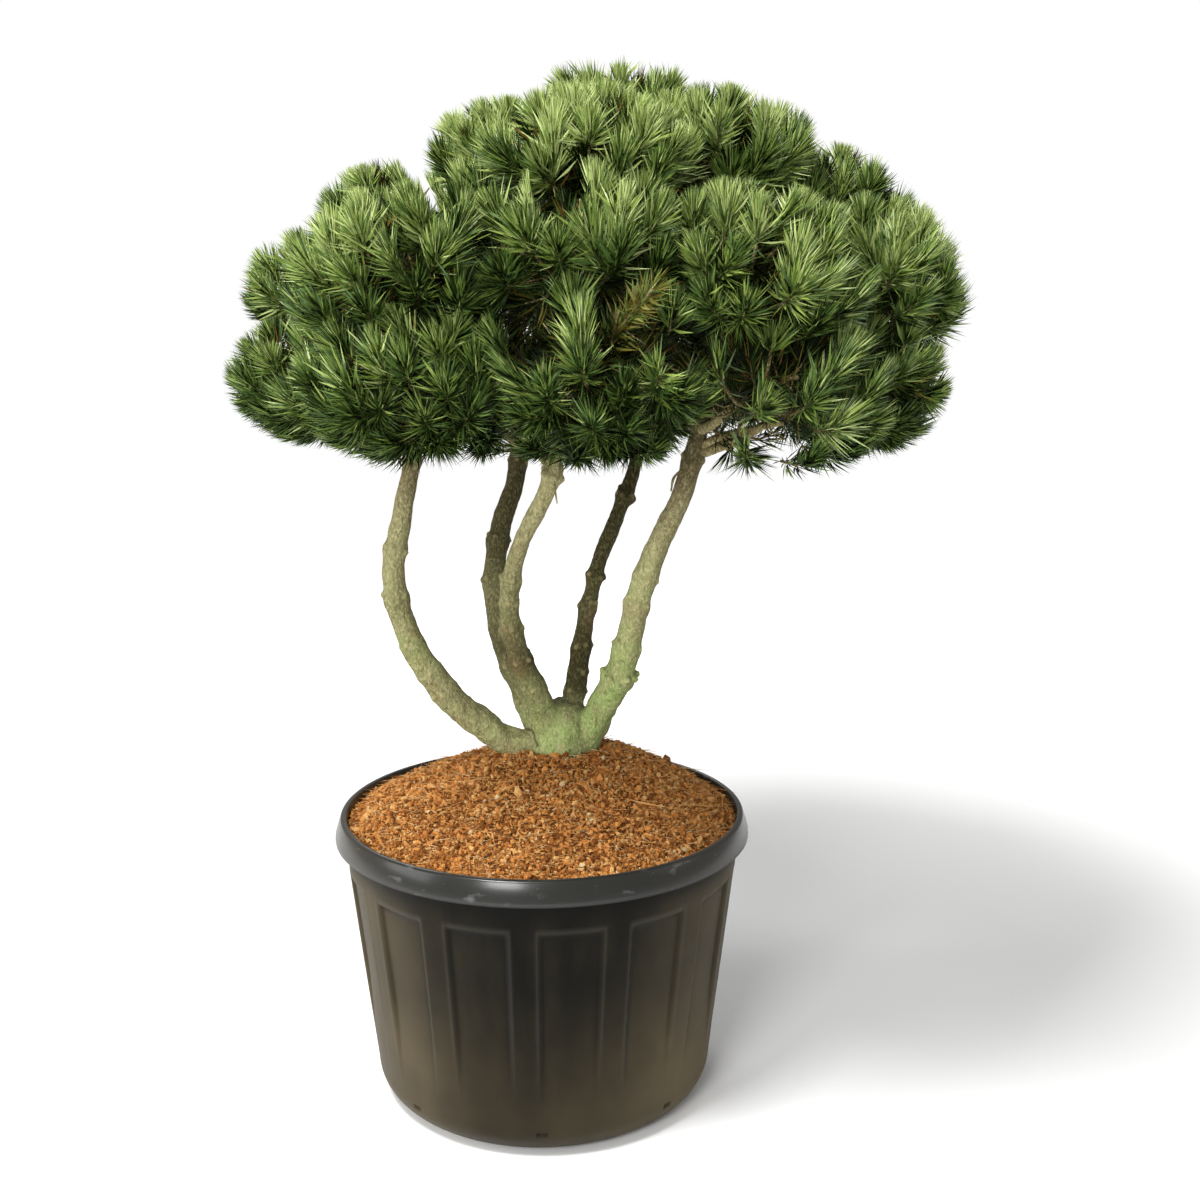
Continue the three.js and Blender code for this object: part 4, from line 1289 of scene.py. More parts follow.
# %% Marks for the colours
LIMB_SAMPLES = 90
SHADE_BLEND = 0.004
SHADE_FROM = 0.67
SHADE_FADE = 0.06
CREASE_WIDTH = 0.0045
CREASE_REACH = 0.012
CREASE_SHADE = 0.85
LEE_SHADE = 0.42
SCAR_FADE = 0.004
BATCHES = 20


def reach_to_limbs(points, limbs):
    """The distance from every point to each limb's skin, as one column for each limb."""
    columns = []
    for limb in limbs:
        shares = np.linspace(0, 1, LIMB_SAMPLES)
        middles, radii = limb.at(shares), limb.radius_at(shares)
        away = np.linalg.norm(points[:, None, :] - middles[None], axis=-1) - radii
        columns.append(away.min(1))
    return np.stack(columns, -1)


def trunk_mesh(bm):
    """The fused skin, smoothed, pushed in and out, and marked with what colours its bark."""
    bmesh.ops.smooth_vert(bm, verts=bm.verts, factor=0.5, use_axis_x=True, use_axis_y=True,
                          use_axis_z=True)
    bm.normal_update()
    lee = np.clip([vert.normal.x for vert in bm.verts], 0, 1)
    shifts = [vert.normal * bark_relief(vert.co) for vert in bm.verts]
    for vert, shift in zip(bm.verts, shifts):
        vert.co += shift
    mesh = mesh_of(bm, "trunk")
    points = np.empty(3 * len(mesh.vertices))
    mesh.vertices.foreach_get("co", points)
    points = points.reshape(-1, 3)
    away = reach_to_limbs(points, stem_limbs.values())
    weights = np.exp(-(away - away.min(1, keepdims=True)) / SHADE_BLEND)
    weights /= weights.sum(1, keepdims=True)

    def by_stem(table):
        """The value of every point from the rows of height and value of the stems near it."""
        values = [np.interp(points[:, 2], *zip(*table[name])) for name in stem_limbs]
        return (weights * np.stack(values, -1)).sum(1)

    nearest = np.sort(away, axis=1)
    crease = np.exp(-((nearest[:, 1] - nearest[:, 0]) / CREASE_WIDTH) ** 2)
    crease *= nearest[:, 0] < CREASE_REACH
    shade = by_stem(STEM_SHADES) * np.clip((points[:, 2] - SHADE_FROM) / SHADE_FADE, 0, 1)
    lee *= LEE_SHADE * weights[:, list(stem_limbs).index("right")]
    put_attribute(mesh, "shade", np.maximum(shade + lee * (1 - shade), CREASE_SHADE * crease))
    put_attribute(mesh, "algae", by_stem(STEM_ALGAE))
    put_attribute(mesh, "brown", by_stem(STEM_BROWNS))
    ends = np.array([foot + way * reach for foot, way, _, reach in scars])
    off_scar = np.concatenate([np.linalg.norm(part[:, None] - ends[None], axis=-1).min(1)
                               for part in np.array_split(points, BATCHES)])
    put_attribute(mesh, "scar", np.clip(1.6 - off_scar / SCAR_FADE, 0, 1))
    return mesh


trunk_skin = trunk_mesh(trunk)
print("marked", *trunk_skin.attributes.keys())

# %% Bark
OLD_FLAKE = linear(104, 96, 62)
SHADED_FLAKE = linear(40, 36, 20)
PALE_GRAIN = linear(192, 188, 140)
PIT = linear(62, 56, 32)
RUST = linear(134, 106, 72)
CUT_WOOD = linear(186, 170, 120)
FLAKE_STRENGTH = 0.38
GRAIN_RANGE = (-0.44, 0.56)
PIT_STRENGTH = 0.55
RUST_STRENGTH = 0.22
CUT_STRENGTH = 0.30


def bark_finish(name, low, middle, high, dark):
    """Bark with algae green low down, through khaki to grey-brown in the crown."""
    look = Finish(name, middle, 0.86, specular=0.2)
    cover = look.effect(MOTTLE, Scale=32, Low=0.22, High=0.62)
    algae = look.math("MULTIPLY", look.attribute("algae"), cover)
    tones = look.mix(algae, look.mix(look.attribute("brown"), middle, high), low)
    tones = look.mix(look.attribute("shade"), tones, dark)
    long_way = look.stretched((1, 1, 0.6))
    patches = look.effect(MOTTLE, long_way, Scale=26, Low=0.40, High=0.64)
    flake = look.mix(look.attribute("shade"), OLD_FLAKE, SHADED_FLAKE)
    tones = look.mix(patches, tones, flake, FLAKE_STRENGTH)
    grains = look.effect(MOTTLE, long_way, Scale=250, Low=0.42, High=0.74)
    fade = look.math("MULTIPLY_ADD", look.attribute("shade"), *GRAIN_RANGE)
    tones = look.mix(look.math("MULTIPLY", grains, fade), tones, PALE_GRAIN)
    pits = look.effect(MOTTLE, long_way, Scale=180, Low=0.52, High=0.72)
    tones = look.mix(pits, tones, PIT, PIT_STRENGTH)
    rust = look.effect(MOTTLE, long_way, Scale=20, Low=0.56, High=0.72)
    tones = look.mix(rust, tones, RUST, RUST_STRENGTH)
    look.color(look.mix(look.attribute("scar"), tones, CUT_WOOD, CUT_STRENGTH))
    look.bump(look.effect(CRUST, long_way, Scale=130, Grain=4.0), 0.0006)
    return look.material


stem_bark = bark_finish("stem_bark", linear(134, 156, 90), linear(150, 144, 104),
                        linear(124, 108, 80), linear(52, 47, 23))
lower = [f"stem_{name}_lower" for name in STEMS]
upper = [f"stem_{name}_upper" for name in STEMS]
add_piece("trunk", trunk_skin, [stem_bark], ["root_crown", *lower, *upper])

# %% [markdown]
# ## The crown's plan: masses, boughs and shoots
#
# The crown was clipped into a dome of rounded masses. Each mass keeps to its own cell, is
# fed by one bough or by a stem's tip, and puts out shoots in even directions by the golden
# angle. Those are the rules of the construction model, written again here. They give the
# leading shoots. The rule is then carried on: round each leader stands a ring of side shoots,
# and more shoots fill what is still open. One is kept only where no other tip is near, so the
# sprays cover the dome evenly. A valley and a few hollows are left open.
# %% Masses of the crown
CROWN = {"x": 95, "y": 0, "depth": 0.94, "reach": 624, "eave": 1360, "top": 1812,
         "bottom": 1160}
TIERS = {
    "low": (1275, 438, (206, 150), {
        "left": 193, "front_left": 235, "front": 271, "front_right": 304, "right": 339,
        "back_right": 20, "back": 80, "back_left": 144}),
    "mid": (1432, 424, (200, 152), {
        "left": 186, "front_left": 232, "front": 267, "front_right": 301, "right": 347,
        "back_right": 32, "back": 84, "back_left": 142}),
    "high": (1570, 340, (190, 150), {
        "left": 190, "front_left": 222, "front": 268, "right": 358, "back_right": 50,
        "back": 116}),
    "top": (1662, 165, (182, 156), {"left": 150, "middle": 40, "right": 333}),
}
NUDGES = {
    "low_left": (26, 14, 0.82), "low_front_left": (0, 18, 1), "low_front": (0, 35, 1),
    "low_right": (10, 14, 0.94), "low_back_right": (-10, 10, 1.1),
    "low_back": (-10, 10, 1.12), "low_back_left": (-10, 10, 1.1), "mid_left": (30, 0, 0.76),
    "mid_front": (-50, 25, 1), "mid_right": (24, 2, 1.02), "mid_back_right": (-10, 0, 1.08),
    "high_left": (-6, -22, 0.72), "high_front_left": (-92, -62, 0.86),
    "high_front": (-85, 20, 1.04), "high_right": (28, -16, 1), "high_back_right": (-22, 0, 1.1),
    "high_back": (-36, 6, 1.1), "top_left": (16, -18, 0.8), "top_middle": (-115, 20, 1.06),
    "top_right": (44, -50, 1),
}
LEADERS = {"high_left": "left", "top_left": "back", "high_front": "front",
           "top_middle": "slim", "top_right": "right"}
BOUGHS = {
    "low_left": ("left", 1195), "mid_left": ("left", 1290), "low_back_left": ("left", 1235),
    "low_front_left": ("front", 1160), "mid_front_left": ("front", 1235),
    "low_front": ("front", 1200), "mid_front": ("front", 1300), "low_back": ("back", 1190),
    "mid_back_left": ("back", 1260), "mid_back": ("back", 1310), "high_back": ("back", 1385),
    "high_front_left": ("front", 1345), "low_back_right": ("slim", 1200),
    "mid_back_right": ("slim", 1275), "high_back_right": ("slim", 1370),
    "low_right": ("right", 1165), "low_front_right": ("right", 1205),
    "mid_front_right": ("right", 1265), "mid_right": ("right", 1310),
    "high_right": ("right", 1375),
}
print(sum(len(tier[3]) for tier in TIERS.values()), "masses,", len(BOUGHS), "with a bough")

# %% Shape left by the shears
CLIP_TOP = 1.793
CLIPS = {
    "low_left": (0.92, 0.94), "low_right": (0.80, 0.97), "low_front_left": (0.97, 0.92),
    "mid_left": (0.91, 0.94), "mid_right": (0.95, 1.0), "high_left": (0.98, 0.88),
    "high_front": (0.97, 0.90), "high_right": (0.92, 0.80), "top_left": (1.02, 0.96),
    "top_middle": (0.80, 0.97), "top_right": (1.10, 0.90),
}
EAVE_RAISE = 0.018
DOME_MIDDLE = np.array([CROWN["x"], CROWN["y"], CROWN["eave"]]) * MM


class Mass:
    """One mass of the crown: its middle, its half-sizes and the planes to its neighbours."""

    def __init__(self, name, centre, half):
        self.name, self.centre, self.half = name, centre, half
        across, up = CLIPS.get(name, (1, 1))
        self.clipped = half * (across, across, up)
        self.outward = unit(centre - DOME_MIDDLE)
        self.normals, self.offsets = None, None

    def set_walls(self, others):
        """Planes to the other masses, which share the space out by size, and one for the eave."""
        rows = [((0.0, 0.0, -1.0), -CROWN["bottom"] * MM)]
        for other in others:
            way = other.centre - self.centre
            length = np.linalg.norm(way)
            power = (other.centre @ other.centre - self.centre @ self.centre
                     + self.half[0] ** 2 - other.half[0] ** 2)
            rows.append((way / length, power / (2 * length)))
        self.normals = np.array([row[0] for row in rows])
        self.offsets = np.array([row[1] for row in rows])


def place_masses():
    """All masses at their places, each with its walls."""
    masses = {}
    for tier, (height, out, half, azimuths) in TIERS.items():
        for side, azimuth in azimuths.items():
            name = f"{tier}_{side}"
            outward, up, size = NUDGES.get(name, (0, 0, 1))
            angle, distance = math.radians(azimuth), out + outward
            centre = np.array([CROWN["x"] + distance * math.cos(angle),
                               CROWN["y"] + distance * math.sin(angle) * CROWN["depth"],
                               height + up])
            half_sizes = np.array([half[0], half[0], half[1]]) * size * MM
            masses[name] = Mass(name, centre * MM, half_sizes)
    for mass in masses.values():
        mass.set_walls([other for other in masses.values() if other is not mass])
    return masses


masses = place_masses()
print(len(masses), "masses")

# %% Room to grow


def in_dome(points, top):
    """Points in the dome's own measure, where it is a ball of radius 1 over a drum."""
    reach = CROWN["reach"] * MM
    return np.stack([(points[..., 0] - DOME_MIDDLE[0]) / reach,
                     (points[..., 1] - DOME_MIDDLE[1]) / (reach * CROWN["depth"]),
                     np.maximum(0, points[..., 2] - DOME_MIDDLE[2]) / (top - DOME_MIDDLE[2])], -1)


def share_inside(start, end):
    """The share of the way between two points that lies inside the ball of radius 1."""
    step = end - start
    a = np.maximum((step * step).sum(-1), 1e-12)
    b = 2 * (start * step).sum(-1)
    c = (start * start).sum(-1) - 1
    share = (-b + np.sqrt(np.maximum(0, b * b - 4 * a * c))) / (2 * a)
    return np.where((end * end).sum(-1) <= 1, 1.0, share)


def room_along(mass, start, end, slack=0.0, stretch=1.0, clipped=False):
    """The share of the way that stays in the mass's cell, its own ball and the dome.

    Slack lets the way cross the seams a little, though never the eave. Stretch makes the
    ball and the dome larger, and clipped takes the shape that the shears left, where the
    eave lies a little higher and is as ragged as the stretch.
    """
    way = end - start
    speed = way @ mass.normals.T
    left = mass.offsets + slack * (mass.normals[:, 2] > -0.999) - start @ mass.normals.T
    size = np.reshape(stretch, (-1, 1))
    if clipped:
        left[:, :1] += size - 1 - EAVE_RAISE
    shares = np.where(speed > 1e-9, left / np.maximum(speed, 1e-9), np.inf)
    half = (mass.clipped if clipped else mass.half) * size
    top = CLIP_TOP if clipped else CROWN["top"] * MM
    own = share_inside((start - mass.centre) / half, (end - mass.centre) / half)
    dome = share_inside(in_dome(start, top) / size, in_dome(end, top) / size)
    return np.clip(np.minimum(np.minimum(shares.min(-1), own), dome), 0, 1)


print(f"the shears leave the dome {CLIP_TOP:.3f} m high")

# %% Valley and hollows that stay open
VALLEY_PLACE = (-0.145, -0.200, 1.569)
VALLEY_TURN = -0.114
VALLEY_LEAN = -0.58
VALLEY_FLOOR = 1.548
VALLEY_HALF = 0.018
HOLLOWS = np.array([
    [(0.049, -0.463, 1.578), (0.042, 0.13, 0.054)],
    [(0.477, -0.375, 1.487), (0.032, 0.10, 0.048)],
    [(0.355, -0.479, 1.311), (0.034, 0.08, 0.022)],
    [(0.000, -0.533, 1.350), (0.036, 0.08, 0.034)],
    [(0.294, -0.512, 1.300), (0.022, 0.08, 0.030)],
    [(0.215, -0.500, 1.335), (0.042, 0.10, 0.022)],
    [(-0.005, -0.480, 1.388), (0.036, 0.09, 0.036)],
    [(0.145, -0.530, 1.385), (0.046, 0.08, 0.046)],
    [(0.347, -0.427, 1.545), (0.018, 0.07, 0.026)],
    [(0.166, -0.525, 1.459), (0.018, 0.06, 0.022)],
    [(-0.157, -0.467, 1.473), (0.018, 0.07, 0.030)],
    [(0.345, -0.330, 1.212), (0.052, 0.26, 0.024)],
    [(0.262, -0.330, 1.215), (0.030, 0.22, 0.052)],
])


def in_open_air(points):
    """Whether points lie in the valley between the left lobes or in a hollow of the crown."""
    x, y, z = np.moveaxis(points, -1, 0)
    middle = (VALLEY_PLACE[0] + VALLEY_TURN * (y - VALLEY_PLACE[1])
              + VALLEY_LEAN * (z - VALLEY_PLACE[2]))
    is_open = (np.abs(x - middle) < VALLEY_HALF) & (z > VALLEY_FLOOR)
    for centre, half in HOLLOWS:
        is_open |= (((points - centre) / half) ** 2).sum(-1) < 1
    return is_open


def crosses_open_air(start, end, steps=5):
    """Whether the straight way between two points touches the valley or a hollow."""
    shares = np.linspace(0, 1, steps)[:, None, None]
    return in_open_air(start + (end - start) * shares).any(0)


print(len(HOLLOWS), "hollows stay open")

# %% Boughs from the stems to the masses
BOUGH_SHARE = 0.62
BOUGH_TIP = 0.0065
BOUGH_SAG = 0.3
BOUGH_CORE_GAP = 0.08
CORE = 0.65


def quadratic_line(start, middle, end, steps=24):
    """A curve that leaves its start towards the middle point and runs from there to its end."""
    t = np.linspace(0, 1, steps + 1)[:, None]
    return (1 - t) ** 2 * start + 2 * t * (1 - t) * middle + t ** 2 * end


def bough_limb(name, stem_name, height):
    """A bough from a stem at a height to the core of its mass, sagging a little."""
    mass, stem = masses[name], stem_limbs[stem_name]
    leave = stem.share_at_height(height * MM)
    start = stem.at(leave)
    inward = unit((start - mass.centre) / mass.half)
    tip = mass.centre + inward * mass.half * (CORE + BOUGH_CORE_GAP)
    middle = (start + tip) / 2
    middle[2] -= abs(tip[2] - start[2]) * BOUGH_SAG
    root = float(stem.radius_at(leave)) * BOUGH_SHARE
    return Limb(quadratic_line(start, middle, tip), np.array([root, BOUGH_TIP]))


bough_limbs = {name: bough_limb(name, *spec) for name, spec in BOUGHS.items()}
feeders = {name: stem_limbs[stem] for name, stem in LEADERS.items()} | bough_limbs
print(len(feeders), "masses are fed")

# %% Small bare branches that show under the crown
SIDE_BRANCHES = {
    "front_fork": ([(0.020, -0.136, 1.145), (-0.010, -0.150, 1.183), (-0.047, -0.158, 1.217),
                    (-0.080, -0.150, 1.262)], (0.0050, 0.0030)),
    "right_low": ([(0.262, -0.092, 1.168), (0.292, -0.112, 1.190), (0.345, -0.128, 1.206),
                   (0.402, -0.140, 1.220)], (0.0078, 0.0058)),
    "right_dark": ([(0.285, -0.098, 1.262), (0.240, -0.190, 1.300), (0.196, -0.300, 1.318)],
                   (0.0068, 0.0036)),
    "left_low": ([(-0.214, -0.042, 1.186), (-0.170, -0.070, 1.196), (-0.110, -0.110, 1.200)],
                 (0.0052, 0.0032)),
    "front_golden": ([(0.060, -0.168, 1.290), (0.085, -0.330, 1.318), (0.118, -0.430, 1.352),
                      (0.176, -0.500, 1.420)], (0.0062, 0.0030)),
}
HANGING_TWIGS = [
    [(0.030, -0.140, 1.160), (0.043, -0.152, 1.150), (0.040, -0.154, 1.128)],
    [(0.028, -0.142, 1.140), (0.030, -0.156, 1.118), (0.034, -0.156, 1.088)],
    [(0.262, -0.096, 1.150), (0.228, -0.110, 1.128), (0.222, -0.112, 1.104)],
]
HANGING_RADII = (0.0022, 0.0011)
side_limbs = {name: Limb(centripetal_line(line, 12), np.array(radii))
              for name, (line, radii) in SIDE_BRANCHES.items()}
hanging_limbs = [Limb(centripetal_line(line, 12), np.array(HANGING_RADII))
                 for line in HANGING_TWIGS]
print(len(side_limbs), "bare branches and", len(hanging_limbs), "hanging twigs")

# %% Skin of the boughs and branches
BOUGH_SIDES = 18
BOUGH_ROWS = 26
BOUGH_RELIEF = 0.5


def bough_mesh():
    """Every bough and bare branch as a bent tube, with half the relief of the stems."""
    bm = bmesh.new()
    for limb in bough_limbs.values():
        bent_tube(bm, limb, np.linspace(0, 1, BOUGH_ROWS + 1), BOUGH_SIDES)
    for limb in (*side_limbs.values(), *hanging_limbs):
        bent_tube(bm, limb, np.linspace(0, 1, BOUGH_ROWS + 1), BOUGH_SIDES // 2)
    bmesh.ops.recalc_face_normals(bm, faces=bm.faces)
    bm.normal_update()
    for vert in bm.verts:
        vert.co += vert.normal * bark_relief(vert.co) * BOUGH_RELIEF
    return mesh_of(bm, "boughs")


bough_bark = bark_finish("bough_bark", linear(126, 116, 78), linear(122, 110, 74),
                         linear(112, 98, 66), linear(74, 64, 40))
add_piece("boughs", bough_mesh(), [bough_bark], [f"bough_{name}" for name in BOUGHS])

# %% Leading shoots by the rule of the construction model
SPACING = 0.119
SPREAD = 0.8
SHOOT = 0.072
SUNK = 0.014
FOOT_SHARE = 0.9
UPWARD = 0.5
UPWARD_BELOW = 0.05
UNDER = -0.3
LEAST = 0.45
SEAM = 0.55
HIDDEN = -0.25
FIRST_SEED = 101


def first_random(seed):
    """The first number of the repeatable stream that the construction model turns a mass by."""
    bits = 0xFFFFFFFF
    state = (seed + 0x6D2B79F5) & bits
    t = ((state ^ (state >> 15)) * (state | 1)) & bits
    t ^= (t + ((t ^ (t >> 7)) * (t | 61))) & bits
    return ((t ^ (t >> 14)) & bits) / 4294967296


def even_directions(count, turn):
    """Directions spread evenly over a ball by the golden angle."""
    z = 1 - 2 * (np.arange(count) + 0.5) / count
    flat = np.sqrt(1 - z * z)
    angle = turn + GOLDEN_ANGLE * np.arange(count)
    return np.stack([flat * np.cos(angle), flat * np.sin(angle), z], -1)


def ways_from(mass, share, spacing, seed):
    """Even directions that stand one spacing apart at a share of a mass's size."""
    ring = (mass.half[0] + mass.half[2]) / 2 * share
    count = round(4 * math.pi * ring ** 2 / spacing ** 2)
    return even_directions(count, first_random(seed) * 2 * math.pi)


def leading_shoots(mass, seed):
    """Foot, axis and length of each leading shoot, on the open side of its mass."""
    ways = ways_from(mass, SPREAD, SPACING, seed)
    offsets = ways * mass.half
    room = room_along(mass, mass.centre[None], mass.centre + offsets)
    axes = ways.copy()
    axes[:, 2] += np.where(ways[:, 2] > UNDER, UPWARD, UPWARD_BELOW)
    axes = unit(axes)
    root = mass.centre + offsets * np.minimum(CORE, room * FOOT_SHARE)[:, None]
    base = root - axes * SUNK
    length = SHOOT * room_along(mass, base, base + axes * SHOOT)
    kept = (ways @ mass.outward > HIDDEN) & (room > SEAM) & (length > SHOOT * LEAST)
    kept &= ~crosses_open_air(base, base + axes * length[:, None])
    return base[kept], axes[kept], length[kept]


first_base = leading_shoots(masses["low_left"], FIRST_SEED)[0]
print("the first mass has", len(first_base), "leading shoots")

# %% The line of a shoot, and the list of all shoots
TURN_UP = 0.75
TIP_ROOM = 0.036
LEAST_STICK = 0.35
SIDE_SLACK = 0.012


def shoot_line(base, axis, length, shares):
    """Places and ways along a shoot, which turns up towards its tip as candles do."""
    shares = np.asarray(shares)[..., None]
    lift = unit(axis + np.array((0, 0, TURN_UP))) - axis
    return base + length * (axis * shares + lift * shares ** 2 / 2), unit(axis + lift * shares)


def shoot_tip(base, axis, length):
    return shoot_line(base, axis, length, 1.0)[0]


def fitted_length(mass, base, axis, length):
    """The length of a shoot that leaves room for the needles past its tip."""
    way = shoot_tip(base, axis, 1.0) - base
    full = length + TIP_ROOM
    room = room_along(mass, base[None], (base + way * full)[None], SIDE_SLACK, clipped=True)[0]
    return min(length, max(LEAST_STICK * length, room * full - TIP_ROOM))


class Crown:
    """All shoots of the crown, each a row of its mass, base, axis, length and kind."""

    def __init__(self):
        self.rows = []
        self.tips = np.empty((0, 3))

    def crowded(self, tip, spacing):
        return len(self.tips) and np.linalg.norm(self.tips - tip, axis=1).min() < spacing

    def add(self, mass, base, axis, length, kind):
        length = fitted_length(mass, base, axis, length)
        self.rows.append((mass, base, axis, length, kind))
        self.tips = np.vstack([self.tips, shoot_tip(base, axis, length)])

    def of(self, mass, *kinds):
        return [row for row in self.rows if row[0] is mass and row[4] in kinds]


print(f"a shoot turns up by {TURN_UP} of its own way towards the tip")

# %% Side shoots round the leaders
SIDE_SHOOTS = 9
SIDE_LEAN = 0.75
SIDE_RISE = 0.45
SIDE_FALL = -0.25
SIDE_START = 0.003
SIDE_LEAST = 0.4
TIP_SPACING = 0.050
SLANTING = (0.3, 0.5, 0.81)


def add_side_shoots(crown, random):
    """Rings of side shoots round every leader, kept where no other tip is near."""
    for mass, base, axis, _, _ in list(crown.rows):
        side = unit(np.cross(axis, SLANTING))
        for i in range(SIDE_SHOOTS):
            turn = 2 * math.pi * (i + random.uniform(-0.3, 0.3)) / SIDE_SHOOTS
            out = way_out(axis, side, turn)
            way = axis * random.uniform(0.5, 0.9) + out * SIDE_LEAN
            way[2] += SIDE_RISE * random.uniform(0.2, 1.0)
            way = unit(way)
            reach = SHOOT * random.uniform(0.95, 1.45)
            start = base + out * SIDE_START
            tip = shoot_tip(start, way, fitted_length(mass, start, way, reach))
            short = np.linalg.norm(tip - start) < SHOOT * SIDE_LEAST
            if short or way[2] < SIDE_FALL or crown.crowded(tip, TIP_SPACING):
                continue
            if not crosses_open_air(start[None], tip[None])[0]:
                crown.add(mass, start, way, reach, "side")


print(SIDE_SHOOTS, "places for side shoots round a leader")

# %% Shoots that fill the open sides
FILL_SPACING = 0.040
FILL_TIPS = 0.052
FILL_ROOM = 0.42
FILL_COVER = 0.070
FILL_SHARE = 0.90
FILL_HIDDEN = -0.35


def inside_any_mass(point):
    """Whether a point lies in the ball of any mass."""
    return any((((point - mass.centre) / mass.half) ** 2).sum() < 1 for mass in masses.values())


def add_filling_shoots(crown, mass, random, seed):
    """Shoots that end just under the open side of a mass, wherever no tip is near yet."""
    ways = ways_from(mass, 1, FILL_SPACING, seed)
    room = room_along(mass, mass.centre[None], mass.centre + ways * mass.half, clipped=True)
    for way, share in zip(ways, room):
        tip = mass.centre + way * mass.half * share * FILL_SHARE
        outward = unit(tip - DOME_MIDDLE)
        hidden = (way @ mass.outward < FILL_HIDDEN
                  or inside_any_mass(tip + outward * FILL_COVER))
        if share < FILL_ROOM or hidden or crown.crowded(tip, FILL_TIPS):
            continue
        lean = unit(way + outward * 0.6 + (0, 0, 0.35) + random.normal(0, 0.22, 3))
        reach = SHOOT * random.uniform(0.8, 1.4)
        base = tip - (shoot_tip(tip, lean, reach) - tip)
        if not crosses_open_air(base[None], tip[None])[0]:
            crown.add(mass, base, lean, reach, "side")


print("filling tips stand at least", FILL_TIPS, "m apart")

# %% Old shoots inside the masses, and the whole crown
INNER_SPACING = 0.085
INNER_RING = 0.50
INNER_FOOT = 0.22
INNER_SLACK = 0.020


def add_inner_shoots(crown, mass, seed):
    """Old shoots on every side of a mass's heart, which close the view through it."""
    ways = ways_from(mass, INNER_RING, INNER_SPACING, seed)
    base = mass.centre + ways * mass.half * INNER_FOOT
    length = SHOOT * room_along(mass, base, base + ways * SHOOT, INNER_SLACK)
    for row in zip(base, ways, length):
        if row[2] > SHOOT * LEAST:
            crown.add(mass, *row, "inner")


def grow_crown():
    """Leaders first, then side shoots, then what fills the gaps, and the old shoots last."""
    random = np.random.default_rng(31)
    crown = Crown()
    for seed, mass in enumerate(masses.values(), FIRST_SEED):
        for row in zip(*leading_shoots(mass, seed)):
            crown.add(mass, *row, "leader")
    add_side_shoots(crown, random)
    for seed, mass in enumerate(masses.values(), FIRST_SEED + 2 * len(masses)):
        add_filling_shoots(crown, mass, random, seed)
    for seed, mass in enumerate(masses.values(), FIRST_SEED + len(masses)):
        add_inner_shoots(crown, mass, seed)
    return crown


crown = grow_crown()
for kind in ("leader", "side", "inner"):
    print(sum(row[4] == kind for row in crown.rows), kind, "shoots")

# %% [markdown]
# ## Twigs
#
# Each mass has one woody stem that runs on from its bough. Every leader hangs on it by a
# curved twig, and the side shoots fork from the leader's foot. So many thin tubes are
# quickest as arrays: a tube is a row of rings along its line, and the two ends are closed by
# a point. They are all joined into one piece.
# %% Tubes as arrays


def joined_tubes(lines, radii, sides):
    """The points and triangles of closed tubes along lines of equal counts of points."""
    lines, radii = np.asarray(lines), np.asarray(radii)
    count, rows = lines.shape[:2]
    side, over = square_to(unit(np.gradient(lines, axis=1)))
    rings = [lines + radii[..., None] * (math.cos(a) * side + math.sin(a) * over)
             for a in np.arange(sides) * 2 * math.pi / sides]
    rings = np.stack(rings, 2).reshape(count, rows * sides, 3)
    points = np.concatenate([rings, lines[:, :1], lines[:, -1:]], 1)
    faces = []
    for i in range(sides):
        j = (i + 1) % sides
        faces.append((rows * sides, j, i))
        faces.append((rows * sides + 1, (rows - 1) * sides + i, (rows - 1) * sides + j))
        for row in range(rows - 1):
            low, high = row * sides, (row + 1) * sides
            faces += [(low + i, low + j, high + j), (low + i, high + j, high + i)]
    return joined(points, faces)


def merged(*parts):
    """Several pairs of points and triangles as one pair."""
    points, triangles, start = [], [], 0
    for more_points, more_triangles in parts:
        points.append(more_points)
        triangles.append(more_triangles + start)
        start += len(more_points)
    return np.concatenate(points), np.concatenate(triangles)


one_tube = joined_tubes([[(0, 0, 0), (0, 0, 1)]], [[1, 1]], 4)
print("a tube of 2 rings and 4 sides has", len(one_tube[1]), "triangles")

# %% Twigs of every mass
HEART_RADII = (0.0066, 0.0030)
TWIG_RADII = (0.0036, 0.0026)
SHOOT_RADII = (0.0024, 0.0013)
HEART_REACH = 0.42
TWIG_STEPS = 6
FORK_BACK = 0.25


def heart_line(mass):
    """The woody stem of a mass, on from its feeder's tip and out past its middle."""
    feeder = feeders[mass.name]
    start = feeder.at(1.0)
    end = mass.centre + unit(mass.outward + np.array((0, 0, 0.6))) * mass.half * HEART_REACH
    middle = start + feeder.along(1.0) * np.linalg.norm(end - start) * 0.5
    return quadratic_line(start, middle, end)


def twig_line(heart, base, axis):
    """A curved twig that forks from the heart and runs into a shoot along its axis."""
    nearest = int(np.linalg.norm(heart - (base - axis * 0.10), axis=1).argmin())
    start = heart[max(1, nearest - round(FORK_BACK * len(heart)))]
    middle = base - axis * np.linalg.norm(base - start) * 0.45
    return quadratic_line(start, middle, base, TWIG_STEPS)


hearts = {mass.name: heart_line(mass) for mass in masses.values()}
twigs = {mass.name: [twig_line(hearts[mass.name], base, axis)
                     for _, base, axis, _, _ in crown.of(mass, "leader", "inner")]
         for mass in masses.values()}
print(sum(len(lines) for lines in twigs.values()), "twigs")

# %% Sprigs on the limbs in the heart of the crown
SPRIG_SPACING = 0.012
STEM_SPRIG_SPACING = 0.011
SPRIG_FROM = 1195
SPRIG_REACH = 0.045
SPRIG_CLEAR = 0.09
BOUGH_SPRIGS_FROM = 0.25
HEART_SPRIGS_FROM = 0.1


